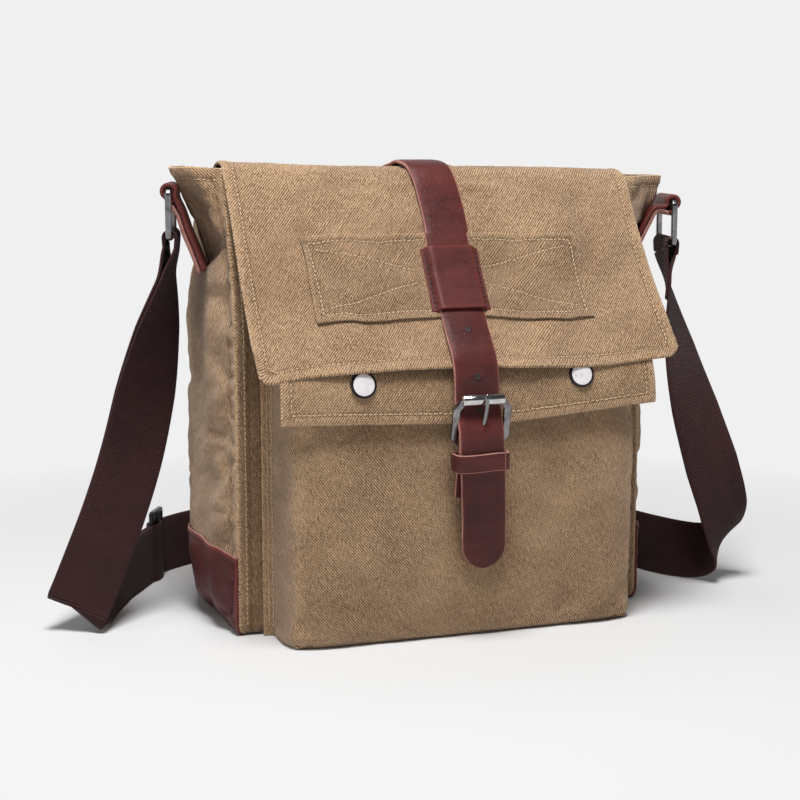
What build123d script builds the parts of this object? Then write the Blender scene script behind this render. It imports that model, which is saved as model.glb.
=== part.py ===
"""Canvas and leather messenger bag with a shoulder strap, in millimetres.

X runs to the bag's left-hand side as it is worn (right in a front view), -Y is the front, +Z is up.
The origin is at the middle of the main compartment's bottom, on the surface that the bag stands on.
"""
from build123d import *
from math import cos, radians, sin, tan
import os

# ---- driving dimensions -------------------------------------------------------------------------
BODY_WIDTH = 276.0          # main compartment, seam to seam
BODY_DEPTH = 120.0          # main compartment, front to back at the bottom
PANEL = 2.5                 # canvas with its backing
PANEL_BEND = 30.0           # radius where the front and back start to lean
BASE_CORNER = 8.0
LEAN_START = 205.0          # height above which front and back lean together
MOUTH_HEIGHT = 290.0
MOUTH_FRONT = -30.0         # front panel's middle line at the mouth
MOUTH_BACK = 43.0
FRONT_TOP = 284.0           # front panel stops under the flap's fold

FLAP_WIDTH = 280.0
FLAP_CANVAS = 2.8           # two layers of canvas
POCKET_WIDTH = 230.0
POCKET_HEIGHT = 168.0
POCKET_FLAP_WIDTH = 246.0
POCKET_FLAP_CANVAS = 2.4

STRAP_WIDTH = 28.0          # leather closing strap
STRAP_LEATHER = 2.6
BUCKLE_AXIS = (-118.5, 128.0)
BUCKLE_BAR_RADIUS = 1.8
ROLLER_AXIS = (-124.6, 155.0)
ROLLER_RADIUS = 3.1

SNAP_X = 72.0
SNAP_Z = 163.2
SNAP_RADIUS = 7.6
MAGNET_Z = 101.0

WEBBING_WIDTH = 40.0
WEBBING = 2.0
RING_INSIDE_WIDTH = 42.0
RING_BAR = 4.0              # ring bars are square with rounded edges
RING_PITCH = 28.5           # upper bar to lower bar
TAB_WIDTH = 38.0
GAP = 0.3                   # running gap between pieces on different bodies

HALF_WIDTH = BODY_WIDTH / 2
HALF_DEPTH = BODY_DEPTH / 2
FACE = HALF_DEPTH - PANEL / 2


def band_sketch(points, thickness, radii):
    """Cross-section in the YZ plane of a bent sheet that follows the points."""
    with BuildSketch(Plane.YZ) as section:
        with BuildLine():
            if radii:
                FilletPolyline(*points, radius=radii)
            else:
                Polyline(*points)
        trace(line_width=thickness)
    return section.sketch


def polygon_sketch(points, plane=Plane.YZ):
    """Closed cross-section through the points."""
    with BuildSketch(plane) as section:
        with BuildLine():
            Polyline(*points, close=True)
        make_face()
    return section.sketch


# ---- main compartment ---------------------------------------------------------------------------
with BuildPart() as base_panel:
    with BuildSketch():
        RectangleRounded(BODY_WIDTH - 1, BODY_DEPTH - 1, BASE_CORNER)
    extrude(amount=PANEL)

with BuildPart() as front_panel:
    lean = (FRONT_TOP - LEAN_START) / (MOUTH_HEIGHT - LEAN_START)
    top = (-FACE + (MOUTH_FRONT + FACE) * lean, FRONT_TOP)
    section = band_sketch([(-FACE, PANEL), (-FACE, LEAN_START), top], PANEL, [PANEL_BEND])
    extrude(section, amount=HALF_WIDTH, both=True)

with BuildPart() as back_panel:
    section = band_sketch([(FACE, PANEL), (FACE, LEAN_START), (MOUTH_BACK, MOUTH_HEIGHT)], PANEL, [PANEL_BEND])
    extrude(section, amount=HALF_WIDTH, both=True)

# Each row is a height and how far the gusset bulges there.
GUSSET_APEX_Y = -12.0
GUSSET_ROWS = [(PANEL + 0.2, 2.0), (30.0, 10.0), (62.0, 13.5), (150.0, 14.5), (LEAN_START, 12.0), (232.0, 3.0)]
GUSSET_TOP = 289.0
GUSSET_TOP_BULGE = {-1: 28.0, 1: 34.0}
BULGE_SHAPE = [0.0, 0.72, 1.0, 0.72, 0.0]
GUSSET_CANVAS = 2.0
LEATHER = 1.8
PATCH_HEIGHT = 52.0
SEAM_GAP = 0.5


def inner_face(height, mouth):
    """Inner face of the front or back panel at a height; mouth is that panel's place at the mouth."""
    side = -1 if mouth < 0 else 1
    lean = max(height - LEAN_START, 0) / (MOUTH_HEIGHT - LEAN_START)
    return side * FACE + (mouth - side * FACE) * lean - side * (PANEL / 2 + SEAM_GAP)


def gusset_section(side, row, inset, thickness):
    """Horizontal section of a side panel at one height, as a thin bulging strip."""
    height, bulge = row
    front = inner_face(height, MOUTH_FRONT)
    back = inner_face(height, MOUTH_BACK)
    depths = [
        front,
        (front + GUSSET_APEX_Y) / 2,
        GUSSET_APEX_Y,
        (GUSSET_APEX_Y + back) / 2,
        back,
    ]
    outside = [
        (side * (HALF_WIDTH + bulge * share - inset), y) for share, y in zip(BULGE_SHAPE, depths)
    ]
    inside = [(x - side * thickness, y) for x, y in outside]
    return polygon_sketch(outside + inside[::-1], Plane.XY.offset(height))


def bulge_at(height):
    """Bulge between two given rows."""
    for (low, low_bulge), (high, high_bulge) in zip(GUSSET_ROWS, GUSSET_ROWS[1:]):
        if low <= height <= high:
            return low_bulge + (high_bulge - low_bulge) * (height - low) / (high - low)
    return GUSSET_ROWS[-1][1]


gussets = {}
corner_patches = {}
for side, label in ((-1, "left"), (1, "right")):
    gusset_rows = GUSSET_ROWS + [(GUSSET_TOP, GUSSET_TOP_BULGE[side])]
    with BuildPart() as gusset:
        loft([gusset_section(side, row, 0.0, GUSSET_CANVAS) for row in gusset_rows], ruled=True)
    gussets[label] = gusset
    patch_rows = GUSSET_ROWS[:2] + [(PATCH_HEIGHT, bulge_at(PATCH_HEIGHT))]
    with BuildPart() as corner_patch:
        loft([gusset_section(side, row, -LEATHER, LEATHER) for row in patch_rows], ruled=True)
    corner_patches[label] = corner_patch

BOARD = 2.0
BOARD_MARGIN = 7.0
BOARD_CORNER = 6.0
BOARD_BOTTOM = PANEL + 0.2
with BuildPart() as base_board:
    with BuildSketch(Plane.XY.offset(BOARD_BOTTOM)):
        RectangleRounded(BODY_WIDTH - 2 * BOARD_MARGIN, BODY_DEPTH - 2 * BOARD_MARGIN, BOARD_CORNER)
    extrude(amount=BOARD)

LINING = 0.8
LINING_HALF_WIDTH = HALF_WIDTH - GUSSET_CANVAS - 1.0
LINING_FLOOR = BOARD_BOTTOM + BOARD + 0.2
LINING_TOP = 280.0
LINING_FACE = HALF_DEPTH - PANEL - 0.6
LINING_LEAN = LEAN_START - 8.0
LINING_MOUTH = (MOUTH_FRONT + 2.8, MOUTH_BACK - 2.6)
with BuildPart() as lining:
    section = polygon_sketch([
        (-LINING_FACE, LINING_FLOOR), (LINING_FACE, LINING_FLOOR), (LINING_FACE, LINING_LEAN),
        (LINING_MOUTH[1], LINING_TOP), (LINING_MOUTH[0], LINING_TOP), (-LINING_FACE, LINING_LEAN),
    ])
    extrude(section, amount=LINING_HALF_WIDTH, both=True)
    section = polygon_sketch([
        (-LINING_FACE + LINING, LINING_FLOOR + LINING), (LINING_FACE - LINING, LINING_FLOOR + LINING),
        (LINING_FACE - LINING, LINING_LEAN), (LINING_MOUTH[1] - LINING, LINING_TOP + 1),
        (LINING_MOUTH[0] + LINING, LINING_TOP + 1), (-LINING_FACE + LINING, LINING_LEAN),
    ])
    extrude(section, amount=LINING_HALF_WIDTH - LINING, both=True, mode=Mode.SUBTRACT)

# ---- front pocket -------------------------------------------------------------------------------
POCKET_BACK = -HALF_DEPTH - 0.2
POCKET_FRONT_LOW = -102.0
POCKET_FRONT_HIGH = -104.0
POCKET_BOTTOM = 1.0
POCKET_FLANGE = 5.0         # sewn edge left standing at the back
POCKET_WALL = 2.0
POCKET_CORNER = 12.0
with BuildPart() as front_pocket:
    section = polygon_sketch([
        (POCKET_BACK, POCKET_BOTTOM), (POCKET_FRONT_LOW, POCKET_BOTTOM),
        (POCKET_FRONT_HIGH, POCKET_HEIGHT), (POCKET_BACK, POCKET_HEIGHT),
    ])
    extrude(section, amount=POCKET_WIDTH / 2, both=True)
    front_corners = front_pocket.edges().filter_by(lambda e: abs(e.tangent_at(0.5).Z) > 0.9)
    fillet(front_corners.filter_by(lambda e: e.center().Y < -100), POCKET_CORNER)
    with BuildSketch(Plane.YZ):
        with BuildLine():
            Polyline(
                (POCKET_BACK + POCKET_FLANGE, POCKET_BOTTOM + POCKET_WALL),
                (POCKET_FRONT_LOW + POCKET_WALL, POCKET_BOTTOM + POCKET_WALL),
                (POCKET_FRONT_HIGH + POCKET_WALL, POCKET_HEIGHT + 1),
                (POCKET_BACK + POCKET_FLANGE, POCKET_HEIGHT + 1),
                close=True,
            )
        make_face()
    extrude(amount=POCKET_WIDTH / 2 - POCKET_WALL, both=True, mode=Mode.SUBTRACT)

POCKET_FLAP_LINE = [(-61.8, 198.2), (-61.8, 189.5), (-84.0, 182.5), (-106.0, 173.0), (-110.6, 146.0)]
POCKET_FLAP_BENDS = [4, 12, 5]
with BuildPart() as pocket_flap:
    section = band_sketch(POCKET_FLAP_LINE, POCKET_FLAP_CANVAS, POCKET_FLAP_BENDS)
    extrude(section, amount=POCKET_FLAP_WIDTH / 2, both=True)

# Ring snaps: a domed cap and a socket on the flap, a stud on the pocket.
SNAP_NORMAL = Vector(0, -27.0, 4.6).normalized()
SNAP_CENTRE_Y = -107.67
SNAP_STUD_Y = -104.15
SNAP_STUD_RADIUS = 2.6
SNAP_STUD_HEIGHT = 1.7
SNAP_RIM = 1.2              # height of the cap's rim
SNAP_DOME = 1.0
SNAP_SEAT = POCKET_FLAP_CANVAS / 2 + 0.05


def snap_plane(x, lift):
    """Plane on the pocket flap at a snap, lifted outward from the canvas's middle."""
    origin = Vector(x, SNAP_CENTRE_Y, SNAP_Z) + SNAP_NORMAL * lift
    return Plane(origin=origin, x_dir=(1, 0, 0), z_dir=SNAP_NORMAL)


with BuildPart() as snap_caps:
    for x in (-SNAP_X, SNAP_X):
        with BuildSketch(snap_plane(x, SNAP_SEAT)):
            Circle(SNAP_RADIUS)
        extrude(amount=SNAP_RIM)
        with BuildSketch(snap_plane(x, SNAP_SEAT + SNAP_RIM)):
            Circle(SNAP_RADIUS - 1.3)
        extrude(amount=SNAP_DOME)
    rims = snap_caps.edges().filter_by(GeomType.CIRCLE)
    fillet(rims.filter_by(lambda e: e.center().Y < SNAP_CENTRE_Y - 3), 0.8)

with BuildPart() as snap_sockets:
    for x in (-SNAP_X, SNAP_X):
        with BuildSketch(snap_plane(x, -SNAP_SEAT)):
            Circle(SNAP_RADIUS - 0.4)
            Circle(SNAP_RADIUS - 2.0, mode=Mode.SUBTRACT)
        extrude(amount=-1.0)

with BuildPart() as snap_studs:
    for x in (-SNAP_X, SNAP_X):
        with BuildSketch(Plane((x, SNAP_STUD_Y, SNAP_Z), x_dir=(1, 0, 0), z_dir=(0, -1, 0))):
            Circle(SNAP_STUD_RADIUS)
        extrude(amount=SNAP_STUD_HEIGHT)

# ---- main flap, its patch and the closing strap --------------------------------------------------
FLAP_LINE = [
    (44.4, 292.6), (4.0, 301.6), (-34.0, 290.5), (-52.0, 246.0), (-80.0, 203.5), (-112.0, 173.0),
]
FLAP_BENDS = [60, 20, 40, 60]


def lifted(points, lift):
    """Line that runs outside another at a constant distance, with mitred corners."""
    runs = [(Vector(*end) - Vector(*start)).normalized() for start, end in zip(points, points[1:])]
    normals = [Vector(run.Y, -run.X) for run in runs]
    line = []
    for index, point in enumerate(points):
        before = normals[max(index - 1, 0)]
        after = normals[min(index, len(normals) - 1)]
        mitre = (before + after).normalized()
        line.append(Vector(*point) + mitre * (lift / mitre.dot(before)))
    return [(place.X, place.Y) for place in line]


def between(points, high, low):
    """Stretch of a falling line between two heights."""
    line = []
    for (y1, z1), (y2, z2) in zip(points, points[1:]):
        for height in (high, low):
            if z2 < height < z1:
                line.append((y1 + (y2 - y1) * (z1 - height) / (z1 - z2), height))
        if low < z2 < high:
            line.append((y2, z2))
    return sorted(line, key=lambda place: -place[1])


with BuildPart() as main_flap:
    section = band_sketch(FLAP_LINE, FLAP_CANVAS, FLAP_BENDS)
    extrude(section, amount=FLAP_WIDTH / 2, both=True)

PATCH_CANVAS = 1.2
PATCH_WIDTH = 184.0
PATCH_TOP = 252.5
PATCH_BOTTOM = 205.5
LAYER_GAP = 0.45
PATCH_LIFT = FLAP_CANVAS / 2 + LAYER_GAP + PATCH_CANVAS / 2
with BuildPart() as flap_patch:
    patch_line = between(lifted(FLAP_LINE[2:], PATCH_LIFT), PATCH_TOP, PATCH_BOTTOM)
    section = band_sketch(patch_line, PATCH_CANVAS, [FLAP_BENDS[2] - PATCH_LIFT])
    extrude(section, amount=PATCH_WIDTH / 2, both=True)

STRAP_LIFT = PATCH_LIFT + PATCH_CANVAS / 2 + LAYER_GAP + STRAP_LEATHER / 2
STRAP_LINE = lifted(FLAP_LINE, STRAP_LIFT)[:-1] + [
    (-116.4, 175.4), (-118.9, 161.0), (-119.3, 147.0), (-125.3, 137.0), (-125.3, 121.0),
    (-121.2, 98.0), (-114.6, 52.0),
]
STRAP_BENDS = [60, 22, 36, 60, 9, 12, 6, 5, 20, 20]
STRAP_HOLES = [(-95.0, 195.0), (-114.8, 176.6)]
STRAP_HOLE_RADIUS = 1.8
TONGUE_SLOT = (16.0, 5.0)   # slot in the strap that the tongue passes through
TONGUE_SLOT_Z = 139.0
with BuildPart() as closing_strap:
    section = band_sketch(STRAP_LINE, STRAP_LEATHER, STRAP_BENDS)
    extrude(section, amount=STRAP_WIDTH / 2, both=True)
    for y, z in STRAP_HOLES:
        with BuildSketch(Plane((0, y, z), x_dir=(1, 0, 0), z_dir=(0, -0.72, 0.69))):
            Circle(STRAP_HOLE_RADIUS)
        extrude(amount=6, both=True, mode=Mode.SUBTRACT)
    with BuildSketch(Plane((0, -122, TONGUE_SLOT_Z), x_dir=(0, 0, 1), z_dir=(0, -1, 0))):
        SlotOverall(*TONGUE_SLOT)
    extrude(amount=8, both=True, mode=Mode.SUBTRACT)
    tip_corners = closing_strap.edges().filter_by(Axis.Y, tolerance=20).group_by(Axis.Z)[0]
    fillet(tip_corners, STRAP_WIDTH / 2 - 1.5)

# The sleeve is one piece of leather, raised over the strap and flat along both sewn edges.
SLEEVE_WIDTH = 38.0
SLEEVE_LEATHER = 1.6
SLEEVE_TOP = 250.0
SLEEVE_BOTTOM = 210.0
SLEEVE_LOW = PATCH_LIFT + PATCH_CANVAS / 2 + LAYER_GAP
CHANNEL_HIGH = STRAP_LIFT + STRAP_LEATHER / 2 + GAP
SLEEVE_HIGH = CHANNEL_HIGH + SLEEVE_LEATHER
with BuildPart() as strap_sleeve:
    sleeve_line = lifted(FLAP_LINE[2:], (SLEEVE_LOW + SLEEVE_HIGH) / 2)
    section = band_sketch(between(sleeve_line, SLEEVE_TOP, SLEEVE_BOTTOM), SLEEVE_HIGH - SLEEVE_LOW, [8])
    extrude(section, amount=SLEEVE_WIDTH / 2, both=True)
    channel_line = lifted(FLAP_LINE[2:], CHANNEL_HIGH / 2)
    section = band_sketch(between(channel_line, SLEEVE_TOP + 20, SLEEVE_BOTTOM - 20), CHANNEL_HIGH, [30, 30])
    extrude(section, amount=STRAP_WIDTH / 2 + GAP, both=True, mode=Mode.SUBTRACT)

# ---- buckle -------------------------------------------------------------------------------------
AXIS_Y, AXIS_Z = BUCKLE_AXIS
TAB_LEATHER = 2.0
TAB_BOTTOM = 92.0
TONGUE_GAP = (6.4, 12.0)    # opening in the tab round the tongue
with BuildPart() as buckle_tab:
    with BuildSketch(Plane.YZ):
        with Locations(BUCKLE_AXIS):
            Circle(BUCKLE_BAR_RADIUS + GAP + TAB_LEATHER)
        with BuildLine():
            Polyline(
                (AXIS_Y - 4.1, AXIS_Z), (AXIS_Y + 4.1, AXIS_Z),
                (AXIS_Y + 3.9, TAB_BOTTOM), (AXIS_Y - 0.1, TAB_BOTTOM),
                close=True,
            )
        make_face()
        with Locations(BUCKLE_AXIS):
            Circle(BUCKLE_BAR_RADIUS + GAP, mode=Mode.SUBTRACT)
    extrude(amount=STRAP_WIDTH / 2, both=True)
    with BuildSketch(Plane.XY.offset(AXIS_Z - 8)):
        with Locations((0, AXIS_Y)):
            Rectangle(*TONGUE_GAP)
    extrude(amount=20, mode=Mode.SUBTRACT)

KEEPER_Z = 112.0
KEEPER_HEIGHT = 9.5
KEEPER_Y = -120.5
KEEPER_OUTSIDE = (STRAP_WIDTH + 7.0, 16.8)
KEEPER_INSIDE = (STRAP_WIDTH + 3.4, 13.6)
with BuildPart() as strap_keeper:
    with BuildSketch(Plane.XY.offset(KEEPER_Z)):
        with Locations((0, KEEPER_Y)):
            RectangleRounded(*KEEPER_OUTSIDE, 2.0)
            RectangleRounded(*KEEPER_INSIDE, 1.0, mode=Mode.SUBTRACT)
    extrude(amount=KEEPER_HEIGHT)

MAGNET_CAP = (7.5, 3.6)      # radius and height
MAGNET_BASE = (8.5, 6.9)
with BuildPart() as magnet_cap:
    with BuildSketch(Plane((0, -114.4, MAGNET_Z), x_dir=(1, 0, 0), z_dir=(0, 1, 0))):
        Circle(MAGNET_CAP[0])
    extrude(amount=MAGNET_CAP[1])

with BuildPart() as magnet_base:
    with BuildSketch(Plane((0, -103.5, MAGNET_Z), x_dir=(1, 0, 0), z_dir=(0, -1, 0))):
        Circle(MAGNET_BASE[0])
    extrude(amount=MAGNET_BASE[1])

FRAME_WIDTH = 38.0
FRAME_BAR = 3.6
FRAME_CHAMFER = 4.4
frame_up = Vector(0, ROLLER_AXIS[0] - AXIS_Y, ROLLER_AXIS[1] - AXIS_Z).normalized()
frame_out = Vector(0, -frame_up.Z, frame_up.Y)
frame_plane = Plane(origin=(0, AXIS_Y, AXIS_Z), x_dir=(1, 0, 0), z_dir=frame_out)
ROLLER_RISE = (Vector(0, *ROLLER_AXIS) - Vector(0, *BUCKLE_AXIS)).length
FRAME_STUB = 2.2             # half height of the side bars' ends, round the pins
STUB_X = FRAME_WIDTH / 2 - FRAME_BAR - 1.4
with BuildPart() as buckle_frame:
    for side in (-1, 1):
        outer, inner = FRAME_WIDTH / 2, FRAME_WIDTH / 2 - FRAME_BAR
        low, high = -FRAME_STUB, ROLLER_RISE + FRAME_STUB
        outline = [
            (STUB_X, low), (outer - FRAME_CHAMFER, low), (outer, low + FRAME_CHAMFER),
            (outer, high - FRAME_CHAMFER), (outer - FRAME_CHAMFER, high), (STUB_X, high),
            (STUB_X, ROLLER_RISE - FRAME_STUB), (inner, ROLLER_RISE - FRAME_STUB),
            (inner, FRAME_STUB), (STUB_X, FRAME_STUB),
        ]
        section = polygon_sketch([(side * x, rise) for x, rise in outline], frame_plane)
        extrude(section, amount=FRAME_BAR / 2 + 0.4, both=True)
    with BuildSketch(Plane.YZ):
        with Locations(BUCKLE_AXIS, ROLLER_AXIS):
            Circle(BUCKLE_BAR_RADIUS)
    extrude(amount=STUB_X + 1, both=True)

with BuildPart() as buckle_roller:
    with BuildSketch(Plane.YZ):
        with Locations(ROLLER_AXIS):
            Circle(ROLLER_RADIUS)
            Circle(BUCKLE_BAR_RADIUS + 0.15, mode=Mode.SUBTRACT)
    extrude(amount=FRAME_WIDTH / 2 - FRAME_BAR - 1.8, both=True)

TONGUE_WIDTH = 3.6
TONGUE_LINE = [(AXIS_Y - 2.9, AXIS_Z), (-122.4, 136.0), (-127.6, 145.0), (-130.2, 158.0)]
with BuildPart() as buckle_tongue:
    section = band_sketch(TONGUE_LINE, 2.2, [10, 12])
    extrude(section, amount=TONGUE_WIDTH / 2, both=True)
    with BuildSketch(Plane.YZ):
        with Locations(BUCKLE_AXIS):
            Circle(BUCKLE_BAR_RADIUS + 0.1 + 1.9)
    extrude(amount=TONGUE_WIDTH / 2, both=True)
    with BuildSketch(Plane.YZ):
        with Locations(BUCKLE_AXIS):
            Circle(BUCKLE_BAR_RADIUS + 0.1)
    extrude(amount=TONGUE_WIDTH, both=True, mode=Mode.SUBTRACT)

# ---- strap rings and their leather tabs ----------------------------------------------------------
# Each ring hangs from a bar that runs nearly front to back, turned a little about Z.
RING_TURN = 15.0
RING_TOP = {"left": (-168.5, -12.0, 281.0), "right": (183.0, -12.0, 270.5)}
SIDE = {"left": -1, "right": 1}
TAB_LINE = {
    "left": [(-3.6, -2.6), (-11.6, -25.0), (-20.8, -49.0)],
    "right": [(-4.0, -1.8), (-12.6, -4.0), (-19.4, -14.5), (-33.5, -42.0)],
}
TAB_THICKNESS = 4.0
TAB_LOOP = (4.8, 2.7)       # outer and inner radius of the turn round the ring


def side_plane(label, origin):
    """Plane across a ring's bars: its x is outward from the bag and its y is up."""
    side = SIDE[label]
    outward = (side * cos(radians(RING_TURN)), -side * sin(radians(RING_TURN)), 0)
    along = (-side * sin(radians(RING_TURN)), -side * cos(radians(RING_TURN)), 0)
    return Plane(origin=origin, x_dir=outward, z_dir=along)


rings = {}
ring_tabs = {}
for label, top in RING_TOP.items():
    across = side_plane(label, top)
    with BuildPart() as ring:
        with BuildSketch(Plane(origin=top, x_dir=across.z_dir, z_dir=across.x_dir)):
            with Locations((0, RING_PITCH / 2)):
                RectangleRounded(RING_INSIDE_WIDTH + 2 * RING_BAR, RING_PITCH + RING_BAR, 5)
                RectangleRounded(RING_INSIDE_WIDTH, RING_PITCH - RING_BAR, 2, mode=Mode.SUBTRACT)
        extrude(amount=RING_BAR / 2, both=True)
        fillet(ring.edges(), 1.2)
    rings[label] = ring
    with BuildPart() as ring_tab:
        with BuildSketch(across):
            with BuildLine():
                Polyline(*TAB_LINE[label])
            trace(line_width=TAB_THICKNESS)
            Circle(TAB_LOOP[0])
            Circle(TAB_LOOP[1], mode=Mode.SUBTRACT)
        extrude(amount=TAB_WIDTH / 2, both=True)
    ring_tabs[label] = ring_tab

# ---- shoulder strap -----------------------------------------------------------------------------
# Each route is the middle line of the webbing; each point also gives the direction across it.
FLOOR_LINE = WEBBING_WIDTH / 2 + 0.6
ALONG_RING = (0.26, 0.966, 0.0)
LEFT_ROUTE = [
    ((-168.5, -12.0, 246.4), ALONG_RING),
    ((-172.0, -10.5, 226.0), (0.40, 0.90, 0.0)),
    ((-177.5, -6.0, 194.0), (0.75, 0.64, -0.10)),
    ((-185.5, -1.0, 150.0), (0.94, 0.22, -0.20)),
    ((-195.0, 1.5, 108.0), (0.96, 0.0, -0.28)),
    ((-209.0, -2.0, 70.0), (0.93, -0.10, -0.36)),
    ((-225.0, -12.0, 40.0), (0.86, 0.10, -0.50)),
    ((-236.0, -22.0, 26.0), (0.72, 0.28, -0.64)),
    ((-232.0, -23.0, 18.4), (0.72, 0.28, -0.64)),
    ((-220.0, -9.0, 19.6), (0.50, 0.34, -0.80)),
    ((-207.0, 16.0, FLOOR_LINE), (0.25, 0.12, -0.95)),
    ((-190.0, 52.0, FLOOR_LINE), (0.0, 0.0, -1.0)),
    ((-167.2, 92.4, FLOOR_LINE), (0.0, 0.0, -1.0)),
]
RIGHT_ROUTE = [
    ((183.0, -12.0, 236.4), ALONG_RING),
    ((184.6, -16.5, 212.0), (0.45, 0.88, 0.0)),
    ((187.0, -27.0, 172.0), (0.80, 0.55, 0.0)),
    ((192.0, -43.0, 128.0), (0.93, 0.20, 0.12)),
    ((203.0, -50.0, 88.0), (0.93, 0.0, 0.24)),
    ((217.0, -47.0, 52.0), (0.88, 0.10, 0.40)),
    ((224.0, -36.0, 27.0), (0.70, 0.35, 0.60)),
    ((212.0, -22.0, FLOOR_LINE - 2.0), (0.35, 0.35, 0.87)),
    ((192.0, -2.0, FLOOR_LINE - 1.0), (0.25, 0.25, 0.93)),
    ((179.0, 30.0, FLOOR_LINE), (0.15, 0.05, 1.0)),
    ((170.0, 80.0, FLOOR_LINE), (0.0, 0.0, 1.0)),
    ((130.0, 128.0, FLOOR_LINE), (0.0, 0.0, 1.0)),
    ((60.0, 150.0, FLOOR_LINE), (0.0, 0.0, 1.0)),
    ((-30.0, 158.0, FLOOR_LINE), (0.0, 0.0, 1.0)),
    ((-100.0, 150.0, FLOOR_LINE), (0.0, 0.0, 1.0)),
    ((-140.0, 130.0, FLOOR_LINE), (0.0, 0.0, 1.0)),
    ((-154.8, 115.6, FLOOR_LINE), (0.0, 0.0, 1.0)),
]


def corner_radii(points):
    """Radius of each corner's arc, from the shorter of its two runs."""
    radii = []
    for before, here, after in zip(points, points[1:], points[2:]):
        turn = (here - before).get_angle(after - here)
        shorter = min((here - before).length, (after - here).length)
        radii.append(0.45 * shorter / tan(radians(turn / 2)))
    return radii


def webbing_path(route, name):
    """Runs joined by tangent arcs along a route."""
    points = [Vector(*point) for point, _ in route]
    radii = corner_radii(points)
    print(name, "radii", [round(radius, 1) for radius in radii])
    return FilletPolyline(*points, radius=radii)


def across_at(route, place):
    """Direction across the webbing at a place, from the nearest run of its route."""
    best = None
    for (start, across_start), (end, across_end) in zip(route, route[1:]):
        start, end = Vector(*start), Vector(*end)
        run = end - start
        share = min(max((place - start).dot(run) / run.dot(run), 0.0), 1.0)
        distance = (place - (start + run * share)).length
        if best is None or distance < best[0]:
            best = (distance, Vector(*across_start) * (1 - share) + Vector(*across_end) * share)
    return best[1]


def webbing_sections(route, path, thickness, steps):
    """Flat sections of the webbing at even steps along its path."""
    sections = []
    for step in range(steps + 1):
        share = step / steps
        place = path.position_at(share)
        ahead = path.tangent_at(share)
        across = across_at(route, place)
        across = (across - ahead * across.dot(ahead)).normalized()
        with BuildSketch(Plane(origin=place, x_dir=across, z_dir=ahead)) as section:
            Rectangle(WEBBING_WIDTH, thickness)
        sections.append(section.sketch)
    return sections


LOOP_THICKNESS = 2 * WEBBING + 0.2
LOOP_STEPS = 60
STRAP_STEPS = 90
left_path = webbing_path(LEFT_ROUTE, "shoulder_strap_loop")
right_path = webbing_path(RIGHT_ROUTE, "shoulder_strap")

with BuildPart() as shoulder_strap_loop:
    loft(webbing_sections(LEFT_ROUTE, left_path, LOOP_THICKNESS, LOOP_STEPS), ruled=True)

with BuildPart() as shoulder_strap:
    loft(webbing_sections(RIGHT_ROUTE, right_path, WEBBING, STRAP_STEPS), ruled=True)

for name, piece, path, thickness in (
    ("shoulder_strap_loop", shoulder_strap_loop, left_path, LOOP_THICKNESS),
    ("shoulder_strap", shoulder_strap, right_path, WEBBING),
):
    print(name, "length", round(path.length, 1), "volume", round(piece.part.volume),
          "section x length", round(path.length * WEBBING_WIDTH * thickness))

# ---- strap slider -------------------------------------------------------------------------------
SLIDER_AT = (-161.0, 104.0, 25.5)
SLIDER_AHEAD = (0.47, 0.88, 0.0)
SLIDER_HEIGHT = 50.0
SLIDER_LENGTH = 24.0
SLIDER_BAR = 3.2
SLIDER_SLOT = 8.0
SLIDER_SLOT_X = 5.6
with BuildPart() as strap_slider:
    with BuildSketch(Plane(origin=SLIDER_AT, x_dir=SLIDER_AHEAD, z_dir=(0.88, -0.47, 0))):
        RectangleRounded(SLIDER_LENGTH, SLIDER_HEIGHT, 3)
        with Locations((-SLIDER_SLOT_X, 0), (SLIDER_SLOT_X, 0)):
            Rectangle(SLIDER_SLOT, SLIDER_HEIGHT - 2 * SLIDER_BAR, mode=Mode.SUBTRACT)
    extrude(amount=SLIDER_BAR / 2, both=True)
    fillet(strap_slider.edges(), 0.8)

# ---- export -------------------------------------------------------------------------------------
PIECES = {
    "base_panel": base_panel,
    "front_panel": front_panel,
    "back_panel": back_panel,
    "gusset_left": gussets["left"],
    "gusset_right": gussets["right"],
    "corner_patch_left": corner_patches["left"],
    "corner_patch_right": corner_patches["right"],
    "base_board": base_board,
    "lining": lining,
    "front_pocket": front_pocket,
    "snap_studs": snap_studs,
    "magnet_base": magnet_base,
    "pocket_flap": pocket_flap,
    "snap_caps": snap_caps,
    "snap_sockets": snap_sockets,
    "main_flap": main_flap,
    "flap_patch": flap_patch,
    "strap_sleeve": strap_sleeve,
    "closing_strap": closing_strap,
    "buckle_tab": buckle_tab,
    "strap_keeper": strap_keeper,
    "magnet_cap": magnet_cap,
    "buckle_frame": buckle_frame,
    "buckle_roller": buckle_roller,
    "buckle_tongue": buckle_tongue,
    "ring_tab_left": ring_tabs["left"],
    "ring_tab_right": ring_tabs["right"],
    "ring_left": rings["left"],
    "ring_right": rings["right"],
    "strap_slider": strap_slider,
    "shoulder_strap_loop": shoulder_strap_loop,
    "shoulder_strap": shoulder_strap,
}
os.makedirs("parts", exist_ok=True)
for label, piece in PIECES.items():
    piece.part.label = label
    export_step(piece.part, f"parts/{label}.step")
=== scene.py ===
"""Canvas and leather messenger bag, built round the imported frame.
"""

import math

import bpy
import numpy as np
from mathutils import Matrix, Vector, noise


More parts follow.
